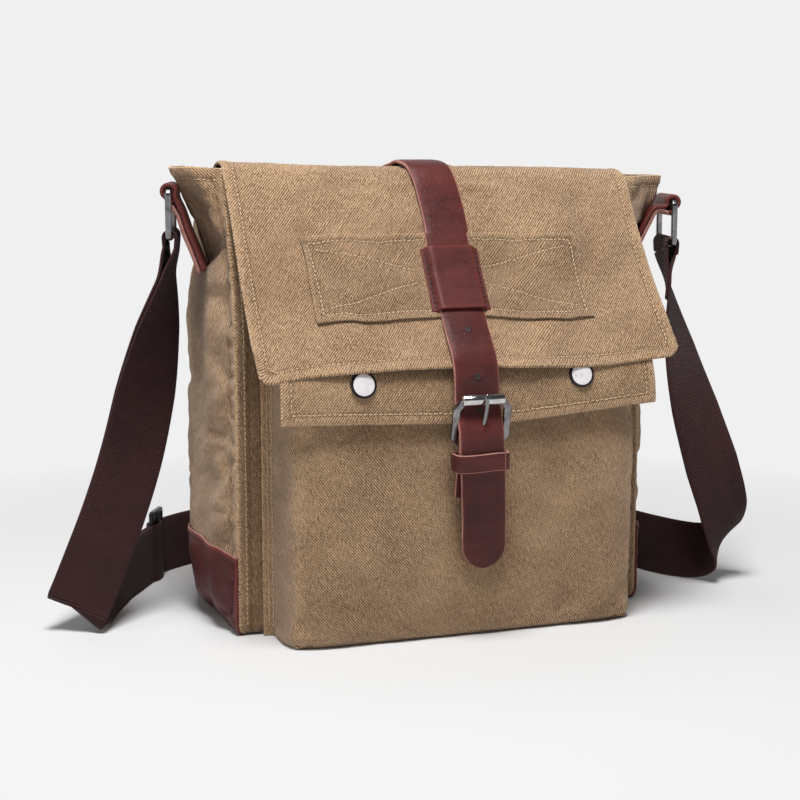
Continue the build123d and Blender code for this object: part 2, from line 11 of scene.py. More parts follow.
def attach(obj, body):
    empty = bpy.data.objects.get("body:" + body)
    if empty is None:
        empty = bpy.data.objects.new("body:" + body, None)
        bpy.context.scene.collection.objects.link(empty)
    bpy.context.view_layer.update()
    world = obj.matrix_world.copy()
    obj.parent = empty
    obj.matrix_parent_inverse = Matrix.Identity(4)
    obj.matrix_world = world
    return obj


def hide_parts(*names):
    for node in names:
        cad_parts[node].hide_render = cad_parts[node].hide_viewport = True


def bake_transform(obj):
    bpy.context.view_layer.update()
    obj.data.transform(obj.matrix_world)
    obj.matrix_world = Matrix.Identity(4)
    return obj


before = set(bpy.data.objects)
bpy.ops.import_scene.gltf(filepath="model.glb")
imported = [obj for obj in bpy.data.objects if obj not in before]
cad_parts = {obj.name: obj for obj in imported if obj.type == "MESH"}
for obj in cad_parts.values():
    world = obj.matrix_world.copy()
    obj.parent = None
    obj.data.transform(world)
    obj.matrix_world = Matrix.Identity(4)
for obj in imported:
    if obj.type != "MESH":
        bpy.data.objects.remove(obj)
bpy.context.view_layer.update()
scene = bpy.context.scene
MM = 0.001
TAU = 2 * math.pi

# ---- camera -------------------------------------------------------------------------------------
camera = bpy.data.objects.new("camera", bpy.data.cameras.new("camera"))
scene.collection.objects.link(camera)
camera.location = Vector((-375.55, -1058.53, 309.4)) * MM
camera.rotation_euler = (math.radians(90 - 8.73), 0, math.radians(-19.01))
camera.data.lens = 74.7
camera.data.clip_start, camera.data.clip_end = 0.05, 50
scene.camera = camera


# ---- numbers ------------------------------------------------------------------------------------
def cubic(knots, values, at):
    """Smooth curve through values at knots, read at other places."""
    knots, values, at = (np.asarray(x, float) for x in (knots, values, at))
    slopes = np.gradient(values, knots, axis=0)
    index = np.clip(np.searchsorted(knots, at, side="right") - 1, 0, len(knots) - 2)
    span = knots[index + 1] - knots[index]
    t = np.clip((at - knots[index]) / span, 0, 1)
    if values.ndim > 1:
        t, span = (x.reshape(x.shape + (1,) * (values.ndim - 1)) for x in (t, span))
    low, high = values[index], values[index + 1]
    rise = (high - low) * (3 - 2 * t) * t * t
    return low + rise + span * t * (1 - t) * (slopes[index] * (1 - t) - slopes[index + 1] * t)


def smooth(edge0, edge1, x):
    """Smooth step from 0 at edge0 to 1 at edge1."""
    t = np.clip((np.asarray(x, float) - edge0) / (edge1 - edge0), 0, 1)
    return t * t * (3 - 2 * t)

def distances(points):
    """Distance along a line of points at each of them."""
    return np.concatenate([[0], np.cumsum(np.linalg.norm(np.diff(points, axis=0), axis=1))])


def read_line(points, along, distance):
    """Points of a line at distances along it."""
    distance = np.asarray(distance, float)
    return np.stack([np.interp(distance, along, points[:, k]) for k in range(points.shape[1])], -1)


def line_through(points):
    """Function from distance along a smooth line to its points, and the line's length."""
    points = np.asarray(points, float)
    knots = distances(points)
    places = cubic(knots, points, np.linspace(0, knots[-1], 600))
    along = distances(places)
    return lambda distance: read_line(places, along, distance), along[-1]


def unit(vectors):
    """Vectors made one long."""
    return vectors / np.maximum(np.linalg.norm(vectors, axis=-1, keepdims=True), 1e-9)


def ridge(distance, width):
    """Soft bump, 1 high where the distance is 0."""
    return np.exp(-(distance / width) ** 2)


def near(distance, width):
    """1 at an edge, falling off with distance from it."""
    return np.exp(-distance / width)

def rough(points, scale, seed):
    """Smooth noise from -1 to 1 at each point; scale is its size in the points' units."""
    flat = np.asarray(points, float).reshape(-1, 3)
    values = [noise.noise(Vector(p / scale) + Vector((seed, 7.3 * seed, -3.1 * seed))) for p in flat]
    return np.array(values).reshape(np.asarray(points).shape[:-1])


DOWN = -1  # side of a sheet whose v runs downwards


# ---- sheets -------------------------------------------------------------------------------------
FLAP_BEND = ("bag_body", "main_flap", (0.0, 0.046, 0.289), (0.0, 0.016, 0.297))
POCKET_FLAP_BEND = ("bag_body", "pocket_flap", (0.0, -0.0605, 0.196), (0.0, -0.074, 0.186))
STRAP_BENDS = {
    "left": ("bag_body", "ring_left", (-0.188, -0.001, 0.150), (-0.1690, -0.0120, 0.2430)),
    "right": ("bag_body", "ring_right", (0.190, -0.038, 0.140), (0.1830, -0.0120, 0.2330)),
}


def drape(sheet, angle, along, across, seed):
    """Long soft folds on a sheet, from -1 to 1: their slant in degrees, their length and their width."""
    c, s = math.cos(math.radians(angle)), math.sin(math.radians(angle))
    places = np.stack([(sheet.uu * c + sheet.vv * s) / along, (sheet.vv * c - sheet.uu * s) / across,
                       np.zeros_like(sheet.uu)], -1)
    return rough(places, 1.0, seed)

class Sheet:
    """A piece of cloth or leather: points on a grid, with the flat distances u and v that they stand for."""

    def __init__(self, shape, u, v, side=1):
        self.shape, self.u, self.v = shape, np.asarray(u, float), np.asarray(v, float)
        self.side, self.extra = side, None
        self.build()

    def build(self):
        self.uu, self.vv = np.meshgrid(self.u, self.v, indexing="ij")
        self.points = np.asarray(self.shape(self.uu, self.vv), float)
        if self.extra is not None:
            self.points = self.points + self.extra
        self.find_normals()

    def find_normals(self):
        across, along = (np.gradient(self.points, axis=k) for k in (0, 1))
        self.normals = unit(self.side * np.cross(across, along))

    def refine(self, u, v):
        """The same sheet on a finer grid, its simulated shape carried over."""
        finer = Sheet(self.shape, u, v, self.side)
        if self.extra is not None:
            by_u = cubic(self.u, self.extra, finer.u)
            finer.extra = np.swapaxes(cubic(self.v, np.swapaxes(by_u, 0, 1), finer.v), 0, 1)
            finer.build()
        return finer

    def push(self, amount):
        """Moves the points along their normals; amount is a function of u and v, or an array."""
        amount = amount(self.uu, self.vv) if callable(amount) else amount
        self.points = self.points + self.normals * np.broadcast_to(amount, self.uu.shape)[..., None]
        self.find_normals()

    def crumple(self, *waves):
        """Small unevenness; each wave is its height, its size and its seed."""
        self.push(sum(height * rough(self.points, scale, seed) for height, scale, seed in waves))

    def read(self, u, v, lift=0.0):
        """Points and normals at flat distances u and v."""
        u, v = np.broadcast_arrays(np.asarray(u, float), np.asarray(v, float))
        i = np.clip(np.searchsorted(self.u, u) - 1, 0, len(self.u) - 2)
        j = np.clip(np.searchsorted(self.v, v) - 1, 0, len(self.v) - 2)
        s = ((u - self.u[i]) / (self.u[i + 1] - self.u[i]))[..., None]
        t = ((v - self.v[j]) / (self.v[j + 1] - self.v[j]))[..., None]
        found = []
        for grid in (self.points, self.normals):
            low = grid[i, j] * (1 - s) + grid[i + 1, j] * s
            high = grid[i, j + 1] * (1 - s) + grid[i + 1, j + 1] * s
            found.append(low * (1 - t) + high * t)
        normals = unit(found[1])
        return found[0] + normals * lift, normals

    def settle(self, pinned, growth, pressure, gravity=0.0, frames=24, inward=1.0, outward=5.0, seed=1.0):
        """Lets the cloth crease by simulation; pinned gives each point's hold from 0 to 1."""
        hold = np.clip(pinned(self.uu, self.vv), 0, 1)
        start_roughness = START_HEIGHT * rough(self.points, START_SIZE, seed) * (1 - hold)
        start = self.points + self.normals * start_roughness[..., None]
        index = np.arange(hold.size).reshape(hold.shape)
        mesh = new_mesh("settling", start, grid_quads(index)[:, ::self.side].tolist())
        cloth_object = bpy.data.objects.new("settling", mesh)
        scene.collection.objects.link(cloth_object)
        group = cloth_object.vertex_groups.new(name="hold")
        for number, weight in enumerate(hold.ravel()):
            group.add([number], float(weight), "REPLACE")
        cloth = cloth_object.modifiers.new("cloth", "CLOTH")
        for field, value in CLOTH_SETTINGS.items():
            setattr(cloth.settings, field, value)
        cloth.settings.vertex_group_mass = "hold"
        cloth.settings.shrink_min = -growth
        cloth.settings.use_pressure = pressure != 0
        cloth.settings.uniform_pressure_force = pressure
        cloth.settings.effector_weights.gravity = gravity
        cloth.collision_settings.use_self_collision = False
        cloth.point_cache.frame_start, cloth.point_cache.frame_end = 1, frames
        for number in range(1, frames + 1):
            scene.frame_set(number)
        settled = cloth_object.evaluated_get(bpy.context.evaluated_depsgraph_get())
        places = np.zeros(len(mesh.vertices) * 3, np.float32)
        settled.data.vertices.foreach_get("co", places)
        moved = places.reshape(*hold.shape, 3) / MM - self.points
        bpy.data.objects.remove(cloth_object)
        bpy.data.meshes.remove(mesh)
        scene.frame_set(1)
        out = (moved * self.normals).sum(-1, keepdims=True)
        aside = moved - out * self.normals
        length = np.linalg.norm(aside, axis=-1, keepdims=True)
        aside = aside * np.minimum(1, SIDEWAYS_LIMIT / np.maximum(length, 1e-9))
        out = np.where(out > 0, outward * np.tanh(out / outward), inward * np.tanh(out / inward))
        self.extra = (aside + out * self.normals) * (1 - smooth(0.8, 1.0, hold))[..., None]
        self.build()


START_HEIGHT, START_SIZE = 0.5, 22.0
SIDEWAYS_LIMIT = 1.5
CLOTH_SETTINGS = {
    "quality": 5, "mass": 0.3, "tension_stiffness": 20, "compression_stiffness": 20, "shear_stiffness": 8,
    "bending_stiffness": 1.2, "air_damping": 4,
}


# ---- meshes -------------------------------------------------------------------------------------
def new_mesh(name, points, faces):
    """Mesh from points in millimetres."""
    mesh = bpy.data.meshes.new(name)
    mesh.from_pydata((np.reshape(points, (-1, 3)) * MM).tolist(), [], faces)
    return mesh


def grid_quads(index):
    """Faces of a grid of point numbers."""
    return np.stack([index[:-1, :-1], index[1:, :-1], index[1:, 1:], index[:-1, 1:]], -1).reshape(-1, 4)


def tube_faces(rings, sides):
    """Faces between rings of points, and a lid on each end."""
    faces = []
    for ring in range(rings - 1):
        for k in range(sides):
            low, high, after = ring * sides, (ring + 1) * sides, (k + 1) % sides
            faces.append((low + k, low + after, high + after, high + k))
    return faces + [tuple(reversed(range(sides))), tuple(range((rings - 1) * sides, rings * sides))]


def link(name, mesh, body, materials, replaced=(), smooth_faces=True):
    piece = bpy.data.objects.new(name, mesh)
    scene.collection.objects.link(piece)
    for material in materials:
        mesh.materials.append(material)
    if smooth_faces:
        mesh.polygons.foreach_set("use_smooth", np.ones(len(mesh.polygons), bool))
    if isinstance(body, tuple):
        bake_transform(piece)
    else:
        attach(piece, body)
    if replaced:
        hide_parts(*replaced)
    return piece


def tag(mesh, name, values, kind):
    """Stores one value for each vertex, for the materials."""
    attribute = mesh.attributes.new(name, kind, "POINT")
    field = "vector" if kind == "FLOAT_VECTOR" else "value"
    attribute.data.foreach_set(field, np.asarray(values, np.float32).ravel())


RIM_ROWS = ((0.35, 0.7), (0.0, 1.0), (-0.35, 0.7))
ROUND_EDGE = 0.35
BACK_SHIFT = 500.0


def sheet_mesh(name, sheet, thickness, wear_and_shade=None):
    """Closed mesh of a sheet with a rounded edge, and a 1 for each of its edge faces."""
    front = sheet.points + sheet.normals * thickness / 2
    back = sheet.points - sheet.normals * thickness / 2
    count_u, count_v = sheet.uu.shape
    total = count_u * count_v
    index = np.arange(total).reshape(count_u, count_v)
    quads = grid_quads(index)
    ring = [(i, 0) for i in range(count_u)] + [(count_u - 1, j) for j in range(1, count_v)]
    ring += [(i, count_v - 1) for i in range(count_u - 2, -1, -1)] + [(0, j) for j in range(count_v - 2, 0, -1)]
    rows, columns = (np.array(x) for x in zip(*ring))
    edge = sheet.points[rows, columns]
    outward = unit(edge - sheet.points[np.clip(rows, 1, count_u - 2), np.clip(columns, 1, count_v - 2)])
    rims = [edge + thickness * (sheet.normals[rows, columns] * share + outward * ROUND_EDGE * out)
            for share, out in RIM_ROWS]
    flat = index[rows, columns]
    loops = [flat] + [2 * total + k * len(flat) + np.arange(len(flat)) for k in range(len(rims))] + [flat + total]
    faces = [quads, quads[:, ::-1] + total]
    for above, below in zip(loops, loops[1:]):
        faces.append(np.stack([above, below, np.roll(below, -1), np.roll(above, -1)], -1))
    vertices = np.concatenate([front.reshape(-1, 3), back.reshape(-1, 3), *rims])
    vertices[:, 2] = np.maximum(vertices[:, 2], 0.0)
    mesh = new_mesh(name, vertices, np.concatenate(faces)[:, ::sheet.side].tolist())
    is_edge = np.zeros(len(mesh.polygons), np.int32)
    is_edge[2 * len(quads):] = 1
    cloth = np.stack([sheet.uu, sheet.vv, 0 * sheet.uu], -1).reshape(-1, 3)
    tag(mesh, "cloth", np.concatenate([cloth, cloth + [BACK_SHIFT, 0, 0], *[cloth[flat]] * 3]) * MM, "FLOAT_VECTOR")
    # Per-vertex tone: paler worn edges, plus painted shade along stitched lines and in recesses.
    worn_and_shaded = np.zeros(total) if wear_and_shade is None else wear_and_shade(sheet.uu, sheet.vv).ravel()
    tag(mesh, "wear_and_shade", np.concatenate([worn_and_shaded, worn_and_shaded * 0, *[worn_and_shaded[flat]] * 3]), "FLOAT")
    mesh.validate()
    return mesh, is_edge


def cloth_piece(name, sheet, thickness, material, replaced=(), wear_and_shade=None, body="bag_body", edge=None, raw_top=False):
    """A finished sheet in the scene; its edge has its own material, all round or at the top only."""
    mesh, is_edge = sheet_mesh(name, sheet, thickness, wear_and_shade)
    if raw_top:
        count_u, count_v = sheet.uu.shape
        ring = np.arange(2 * (count_u + count_v) - 4)
        top = (ring >= count_u + count_v - 2) & (ring < 2 * count_u + count_v - 3)
        is_edge[-4 * len(ring):] = np.tile(top, 4)
    link(name, mesh, body, [material, edge or material], replaced)
    mesh.polygons.foreach_set("material_index", is_edge)
    mesh.update()


# ---- stitching ----------------------------------------------------------------------------------
STITCH_LENGTH, STITCH_RADIUS, STITCH_FLATNESS = 2.5, 0.5, 0.8
STITCH_SEED = 5
HAND_SPREAD = 0.12


def capsule(sides=6, rings=5):
    """Unit stitch along X, with its faces."""
    points = []
    for k in range(rings):
        angle = math.pi * (k + 0.5) / rings
        radius = math.sin(angle) ** 0.5
        for side in range(sides):
            turn = TAU * side / sides
            points.append((-math.cos(angle) / 2, math.cos(turn) * radius, math.sin(turn) * radius))
    return np.array(points), tube_faces(rings, sides)


STITCH, STITCH_FACES = capsule()


def stitch_row(points, normals, pitch, generator):
    """Place, direction, normal and side of each stitch along a line."""
    along = distances(points)
    count = max(int(along[-1] / pitch), 1)
    middles = (np.arange(count) + 0.5) * along[-1] / count
    spread = generator.normal(0, HAND_SPREAD, (count, 2))
    ahead = unit(read_line(points, along, middles + 0.8) - read_line(points, along, middles - 0.8))
    up = read_line(normals, along, middles)
    side = unit(np.cross(up, ahead))
    places = read_line(points, along, middles) + side * spread[:, 1:]
    ahead = unit(ahead + side * spread[:, :1] * 0.6)
    side = np.cross(up, ahead)
    return places, ahead, np.cross(ahead, side), side


def stitching(name, sheet, lines, thread, body="bag_body", pitch=3.2, lift=0.95):
    """Rows of thread on a sheet; each line is a list of (u, v) corners."""
    generator = np.random.default_rng(STITCH_SEED)
    vertices, faces = [], []
    for corners in lines:
        corners = np.asarray(corners, float)
        run = distances(corners)
        u, v = read_line(corners, run, np.linspace(0, run[-1], max(int(run[-1]), 2))).T
        for place, ahead, up, side in zip(*stitch_row(*sheet.read(u, v, lift), pitch, generator)):
            start = len(vertices) * len(STITCH)
            faces += [tuple(start + k for k in face) for face in STITCH_FACES]
            vertices.append(place + STITCH[:, :1] * STITCH_LENGTH * ahead
                            + STITCH_RADIUS * (STITCH[:, 1:2] * side + STITCH[:, 2:] * STITCH_FLATNESS * up))
    link(name, new_mesh(name, np.concatenate(vertices), faces), body, [thread])


# ---- materials ----------------------------------------------------------------------------------
def new_node(tree, kind, inputs=None, **fields):
    """Node with its fields set, and each input wired to a socket or set to a value."""
    made = tree.nodes.new(kind)
    for field, value in fields.items():
        setattr(made, field, value)
    for key, value in (inputs or {}).items():
        if isinstance(value, bpy.types.NodeSocket):
            tree.links.new(value, made.inputs[key])
        else:
            made.inputs[key].default_value = value
    return made


class Paint:
    """Short way to wire a material's nodes."""

    def __init__(self, name):
        self.material = bpy.data.materials.new(name)
        self.material.use_nodes = True
        self.tree = self.material.node_tree
        self.shader = self.tree.nodes["Principled BSDF"]

    def node(self, kind, inputs=None, **fields):
        return new_node(self.tree, kind, inputs, **fields)

    def place(self):
        return self.node("ShaderNodeTexCoord").outputs["Object"]

    def cloth(self):
        return self.node("ShaderNodeAttribute", attribute_name="cloth").outputs["Vector"]

    # Reads the per-vertex tone, which holds paler worn edges and painted shade in seams and recesses.
    def worn_and_shaded(self):
        return self.node("ShaderNodeAttribute", attribute_name="wear_and_shade").outputs["Fac"]

    def parts(self, vector):
        return self.node("ShaderNodeSeparateXYZ", {"Vector": vector}).outputs[:2]

    def math(self, operation, *values):
        return self.node("ShaderNodeMath", dict(enumerate(values)), operation=operation).outputs[0]

    def total(self, *terms):
        """Sum of values, each times its factor."""
        whole, *others = [self.math("MULTIPLY", value, factor) for value, factor in terms]
        for other in others:
            whole = self.math("ADD", whole, other)
        return whole

    def sine(self, value, pitch):
        return self.math("SINE", self.math("MULTIPLY", value, TAU / (pitch * MM)))

    def slub(self, vector, scale, amount):
        return self.math("MULTIPLY", self.math("SUBTRACT", self.noise(vector, scale, 2.0), 0.5), amount)

    def mix(self, share, low, high):
        return self.node("ShaderNodeMix", {0: share, 6: (*low, 1), 7: (*high, 1)}, data_type="RGBA").outputs[2]

    def noise(self, vector, scale, detail=3.0, roughness=0.55):
        return self.node("ShaderNodeTexNoise", {"Vector": vector, "Scale": scale, "Detail": detail,
                                                "Roughness": roughness}).outputs["Fac"]

    def stretched(self, vector, scale, turn=0.0):
        return self.node("ShaderNodeMapping", {"Vector": vector, "Scale": scale, "Rotation": (0, 0, turn)}
                         ).outputs["Vector"]

    def spread(self, value, low, high, to_low=0.0, to_high=1.0):
        return self.node("ShaderNodeMapRange", {"Value": value, "From Min": low, "From Max": high,
                                                "To Min": to_low, "To Max": to_high}).outputs["Result"]

    def finish(self, colour, roughness, height, distance, strength=1.0, **constants):
        self.tree.links.new(colour, self.shader.inputs["Base Color"])
        if isinstance(roughness, bpy.types.NodeSocket):
            self.tree.links.new(roughness, self.shader.inputs["Roughness"])
        else:
            self.shader.inputs["Roughness"].default_value = roughness
        bump = self.node("ShaderNodeBump", {"Height": height, "Distance": distance, "Strength": strength})
        self.tree.links.new(bump.outputs["Normal"], self.shader.inputs["Normal"])
        for key, value in constants.items():
            self.shader.inputs[key.replace("_", " ")].default_value = value
        return self.material


def canvas_paint(name, light, dark):
    """Stone-washed cotton twill: slanting ribs, slubby yarns, cloudy wash, paler rubbed edges and painted shade in
    seams and recesses.
    """
    p = Paint(name)
    cloth = p.cloth()
    u, v = p.parts(cloth)
    slub = p.slub(cloth, 260.0, 0.0011)
    ribs = p.sine(p.total((u, 1.0), (v, 0.8), (slub, 1.0)), 1.7)
    picks = p.sine(p.math("SUBTRACT", v, slub), 0.9)
    weave = p.total((ribs, 0.34), (picks, 0.16))
    speck = p.noise(p.stretched(cloth, (1.0, 0.35, 1.0), 0.6), 900.0, 3.0, 0.7)
    wash = p.noise(cloth, 26.0, 4.0, 0.6)
    cloud = p.noise(cloth, 9.0, 2.0, 0.5)
    tone = p.total((weave, 1.25), (speck, 2.3), (wash, 0.9), (cloud, 0.25), (p.worn_and_shaded(), 0.28))
    height = p.total((weave, 0.8), (speck, 0.9), (wash, 0.8))
    return p.finish(p.mix(p.spread(tone, 1.22, 2.36), dark, light), 0.93, height, 0.0006, Sheen_Weight=0.26,
                    Sheen_Roughness=0.45, Specular_IOR_Level=0.22)


def leather_paint(name, light, dark, roughness=0.42):
    """Oiled leather: pores, faint creases and uneven dye."""
    p = Paint(name)
    place = p.place()
    pores = p.node("ShaderNodeTexVoronoi", {"Vector": place, "Scale": 1500.0}, feature="DISTANCE_TO_EDGE"
                   ).outputs["Distance"]
    grain = p.noise(place, 420.0, 4.0, 0.6)
    dye = p.noise(place, 38.0, 4.0, 0.62)
    streak = p.noise(p.stretched(place, (0.5, 1.0, 3.2)), 55.0, 4.0, 0.6)
    tone = p.total((dye, 0.7), (streak, 0.5), (p.worn_and_shaded(), 0.55))
    height = p.total((p.spread(pores, 0.0, 0.12), 0.5), (grain, 0.8), (streak, 1.2))
    uneven = p.spread(p.math("ADD", dye, grain), 0.6, 1.4, roughness - 0.09, roughness + 0.13)
    return p.finish(p.mix(p.spread(tone, 0.32, 1.05), dark, light), uneven, height, 0.00028, 0.85,
                    Specular_IOR_Level=0.30, Coat_Weight=0.02, Coat_Roughness=0.35)


def suede_paint(name, light, dark):
    """Raw cut edge or flesh side of leather."""
    p = Paint(name)
    place = p.place()
    fibre = p.noise(place, 900.0, 4.0, 0.75)
    tone = p.total((fibre, 0.6), (p.noise(place, 120.0, 3.0, 0.6), 0.6))
    return p.finish(p.mix(p.spread(tone, 0.3, 0.85), dark, light), 0.9, fibre, 0.0003, 0.8, Specular_IOR_Level=0.2)


def webbing_paint(name, light, dark):
    """Ribbed cotton webbing: ribs across, herringbone yarns and a tight selvage."""
    p = Paint(name)
    cloth = p.cloth()
    u, v = p.parts(cloth)
    slub = p.slub(cloth, 320.0, 0.0008)
    ribs = p.sine(p.math("ADD", v, slub), 1.5)
    yarns = p.sine(p.math("ADD", u, slub), 1.25)
    weave = p.total((ribs, 0.35), (p.math("MULTIPLY", yarns, ribs), 0.3))
    speck = p.noise(cloth, 1100.0, 3.0, 0.7)
    tone = p.total((weave, 0.4), (speck, 0.8), (p.noise(cloth, 30.0, 3.0, 0.6), 0.4), (p.worn_and_shaded(), 0.3))
    return p.finish(p.mix(p.spread(tone, 0.2, 1.2), dark, light), 0.92, p.total((weave, 1.0), (speck, 0.7)), 0.00045,
                    Sheen_Weight=0.06, Specular_IOR_Level=0.2)


def metal_paint(name, light, dark, roughness, scratch=1.0, metallic=1.0):
    """Plated metal with fine hairlines and smudges."""
    p = Paint(name)
    place = p.place()
    hair = p.noise(p.stretched(place, (1.0, 6.0, 14.0)), 700.0, 2.0)
    smudge = p.noise(place, 160.0, 4.0, 0.6)
    uneven = p.spread(smudge, 0.3, 0.7, roughness * 0.8, roughness * 1.3)
    return p.finish(p.mix(p.spread(smudge, 0.3, 0.7), dark, light), uneven, hair, 0.00003 * scratch, 0.5,
                    Metallic=metallic)


def thread_paint(name, light, dark):
    """Spun thread: a fine ply and uneven dye."""
    p = Paint(name)
    place = p.place()
    ply = p.noise(place, 2200.0, 2.0)
    tone = p.total((ply, 0.5), (p.noise(place, 60.0), 0.5))
    return p.finish(p.mix(p.spread(tone, 0.3, 0.7), dark, light), 0.75, ply, 0.0002, 0.6, Sheen_Weight=0.15)


def board_paint(name, light, dark):
    """Moulded board or plain woven lining."""
    p = Paint(name)
    place = p.place()
    grain = p.noise(place, 600.0, 3.0, 0.6)
    tone = p.total((grain, 0.5), (p.noise(place, 50.0), 0.5))
    return p.finish(p.mix(p.spread(tone, 0.3, 0.7), dark, light), 0.85, grain, 0.0003, 0.6)

CANVAS = canvas_paint("canvas", (0.600, 0.402, 0.238), (0.118, 0.057, 0.025))
# Darker copy of the canvas: on the front panel it is painted shade for the strip beside the pocket; the flap patch uses
# it too.
CANVAS_SHADE = canvas_paint("canvas_shade", (0.500, 0.332, 0.194), (0.092, 0.044, 0.019))
LEATHER = leather_paint("leather", (0.145, 0.024, 0.020), (0.034, 0.0044, 0.0042))
LEATHER_EDGE = suede_paint("leather_edge", (0.45, 0.225, 0.185), (0.20, 0.080, 0.066))
WEBBING = webbing_paint("webbing", (0.075, 0.026, 0.025), (0.010, 0.0036, 0.0040))
GUNMETAL = metal_paint("gunmetal", (0.34, 0.33, 0.34), (0.13, 0.125, 0.13), 0.22)
BRIGHT = metal_paint("bright_steel", (0.72, 0.71, 0.70), (0.50, 0.49, 0.48), 0.16)
# Snap cap metal: its near-white colour with little metallic is a painted reflection of the bright studio.
CAP_PAINTED_REFLECTION = metal_paint("cap_painted_reflection", (0.92, 0.88, 0.88), (0.80, 0.76, 0.77), 0.30, 0.4, 0.25)
RIM = metal_paint("cap_rim", (0.060, 0.056, 0.058), (0.022, 0.020, 0.021), 0.30)
THREAD = thread_paint("thread", (0.62, 0.46, 0.29), (0.36, 0.245, 0.14))
SLEEVE_THREAD = thread_paint("sleeve_thread", (0.055, 0.020, 0.022), (0.016, 0.006, 0.007))
DARK_THREAD = thread_paint("dark_thread", (0.12, 0.045, 0.045), (0.03, 0.010, 0.012))
LINING = board_paint("lining_cloth", (0.115, 0.085, 0.055), (0.060, 0.043, 0.028))
# Dark board; it also fills the middles of the strap holes, where its colour is painted shade.
BOARD_AND_HOLE_SHADE = board_paint("board", (0.035, 0.032, 0.030), (0.012, 0.011, 0.010))

# ---- shoulder strap -----------------------------------------------------------------------------
LEFT_ROUTE = [
    ((-0.1685, -0.0120, 0.2464), (0.26, 0.966, 0.0)),
    ((-0.1720, -0.0105, 0.2260), (0.40, 0.90, 0.0)),
    ((-0.1775, -0.0060, 0.1940), (0.75, 0.64, -0.10)),
    ((-0.1855, -0.0010, 0.1500), (0.94, 0.22, -0.20)),
    ((-0.1950, 0.0015, 0.1080), (0.96, 0.0, -0.28)),
    ((-0.2090, -0.0020, 0.0700), (0.93, -0.10, -0.36)),
    ((-0.2220, -0.0090, 0.0430), (0.84, -0.22, -0.50)),
    ((-0.2315, -0.0145, 0.0235), (0.77, -0.31, -0.56)),
    ((-0.2362, -0.0170, 0.0150), (0.74, -0.33, -0.58)),
    ((-0.2325, -0.0110, 0.0158), (0.70, -0.32, -0.64)),
    ((-0.2230, 0.0040, 0.0176), (0.55, -0.25, -0.79)),
    ((-0.2080, 0.0270, 0.0200), (0.28, -0.08, -0.95)),
    ((-0.1900, 0.0520, 0.0206), (0.0, 0.0, -1.0)),
    ((-0.1672, 0.0924, 0.0206), (0.0, 0.0, -1.0)),
]
RIGHT_ROUTE = [
    ((0.1830, -0.0120, 0.2364), (0.26, 0.966, 0.0)),
    ((0.1846, -0.0165, 0.2120), (0.45, 0.88, 0.0)),
    ((0.1870, -0.0270, 0.1720), (0.80, 0.55, 0.0)),
    ((0.1920, -0.0430, 0.1280), (0.93, 0.20, 0.12)),
    ((0.2030, -0.0500, 0.0880), (0.93, 0.0, 0.24)),
    ((0.2170, -0.0470, 0.0520), (0.88, 0.10, 0.40)),
    ((0.2240, -0.0360, 0.0270), (0.70, 0.35, 0.60)),
    ((0.2120, -0.0220, 0.0186), (0.35, 0.35, 0.87)),
    ((0.1920, -0.0020, 0.0196), (0.25, 0.25, 0.93)),
    ((0.1790, 0.0300, 0.0206), (0.15, 0.05, 1.0)),
    ((0.1700, 0.0800, 0.0206), (0.0, 0.0, 1.0)),
    ((0.1300, 0.1280, 0.0206), (0.0, 0.0, 1.0)),
    ((0.0600, 0.1500, 0.0206), (0.0, 0.0, 1.0)),
    ((-0.0300, 0.1580, 0.0206), (0.0, 0.0, 1.0)),
    ((-0.1000, 0.1500, 0.0206), (0.0, 0.0, 1.0)),
    ((-0.1400, 0.1300, 0.0206), (0.0, 0.0, 1.0)),
    ((-0.1548, 0.1156, 0.0206), (0.0, 0.0, 1.0)),
]
WEBBING_HALF = 20.0
WEBBING_THICK = 1.7
WEBBING_STEP = 2.5
RING_GAP = 19.0
RING_SPREAD = 3.4


def route_line(name, route):
    """Points along the smooth line that a route's points control."""
    curve = bpy.data.curves.new(name, "CURVE")
    curve.dimensions = "3D"
    spline = curve.splines.new("NURBS")
    spline.points.add(len(route) - 1)
    for point, (place, _) in zip(spline.points, route):
        point.co = (*place, 1)
    spline.order_u = 3
    spline.use_endpoint_u = True
    spline.resolution_u = 14
    holder = bpy.data.objects.new(name, curve)
    scene.collection.objects.link(holder)
    mesh = bpy.data.meshes.new_from_object(holder)
    path = np.array([vertex.co for vertex in mesh.vertices])
    bpy.data.objects.remove(holder)
    bpy.data.meshes.remove(mesh)
    return path

def share_along(places, point):
    """Where on a line of places a point is nearest, counted in places."""
    best = (1e9, 0.0)
    for k, (place, after) in enumerate(zip(places, places[1:])):
        run = after - place
        t = min(max((point - place) @ run / (run @ run), 0.0), 1.0)
        best = min(best, (np.linalg.norm(point - place - run * t), k + t))
    return best[1]


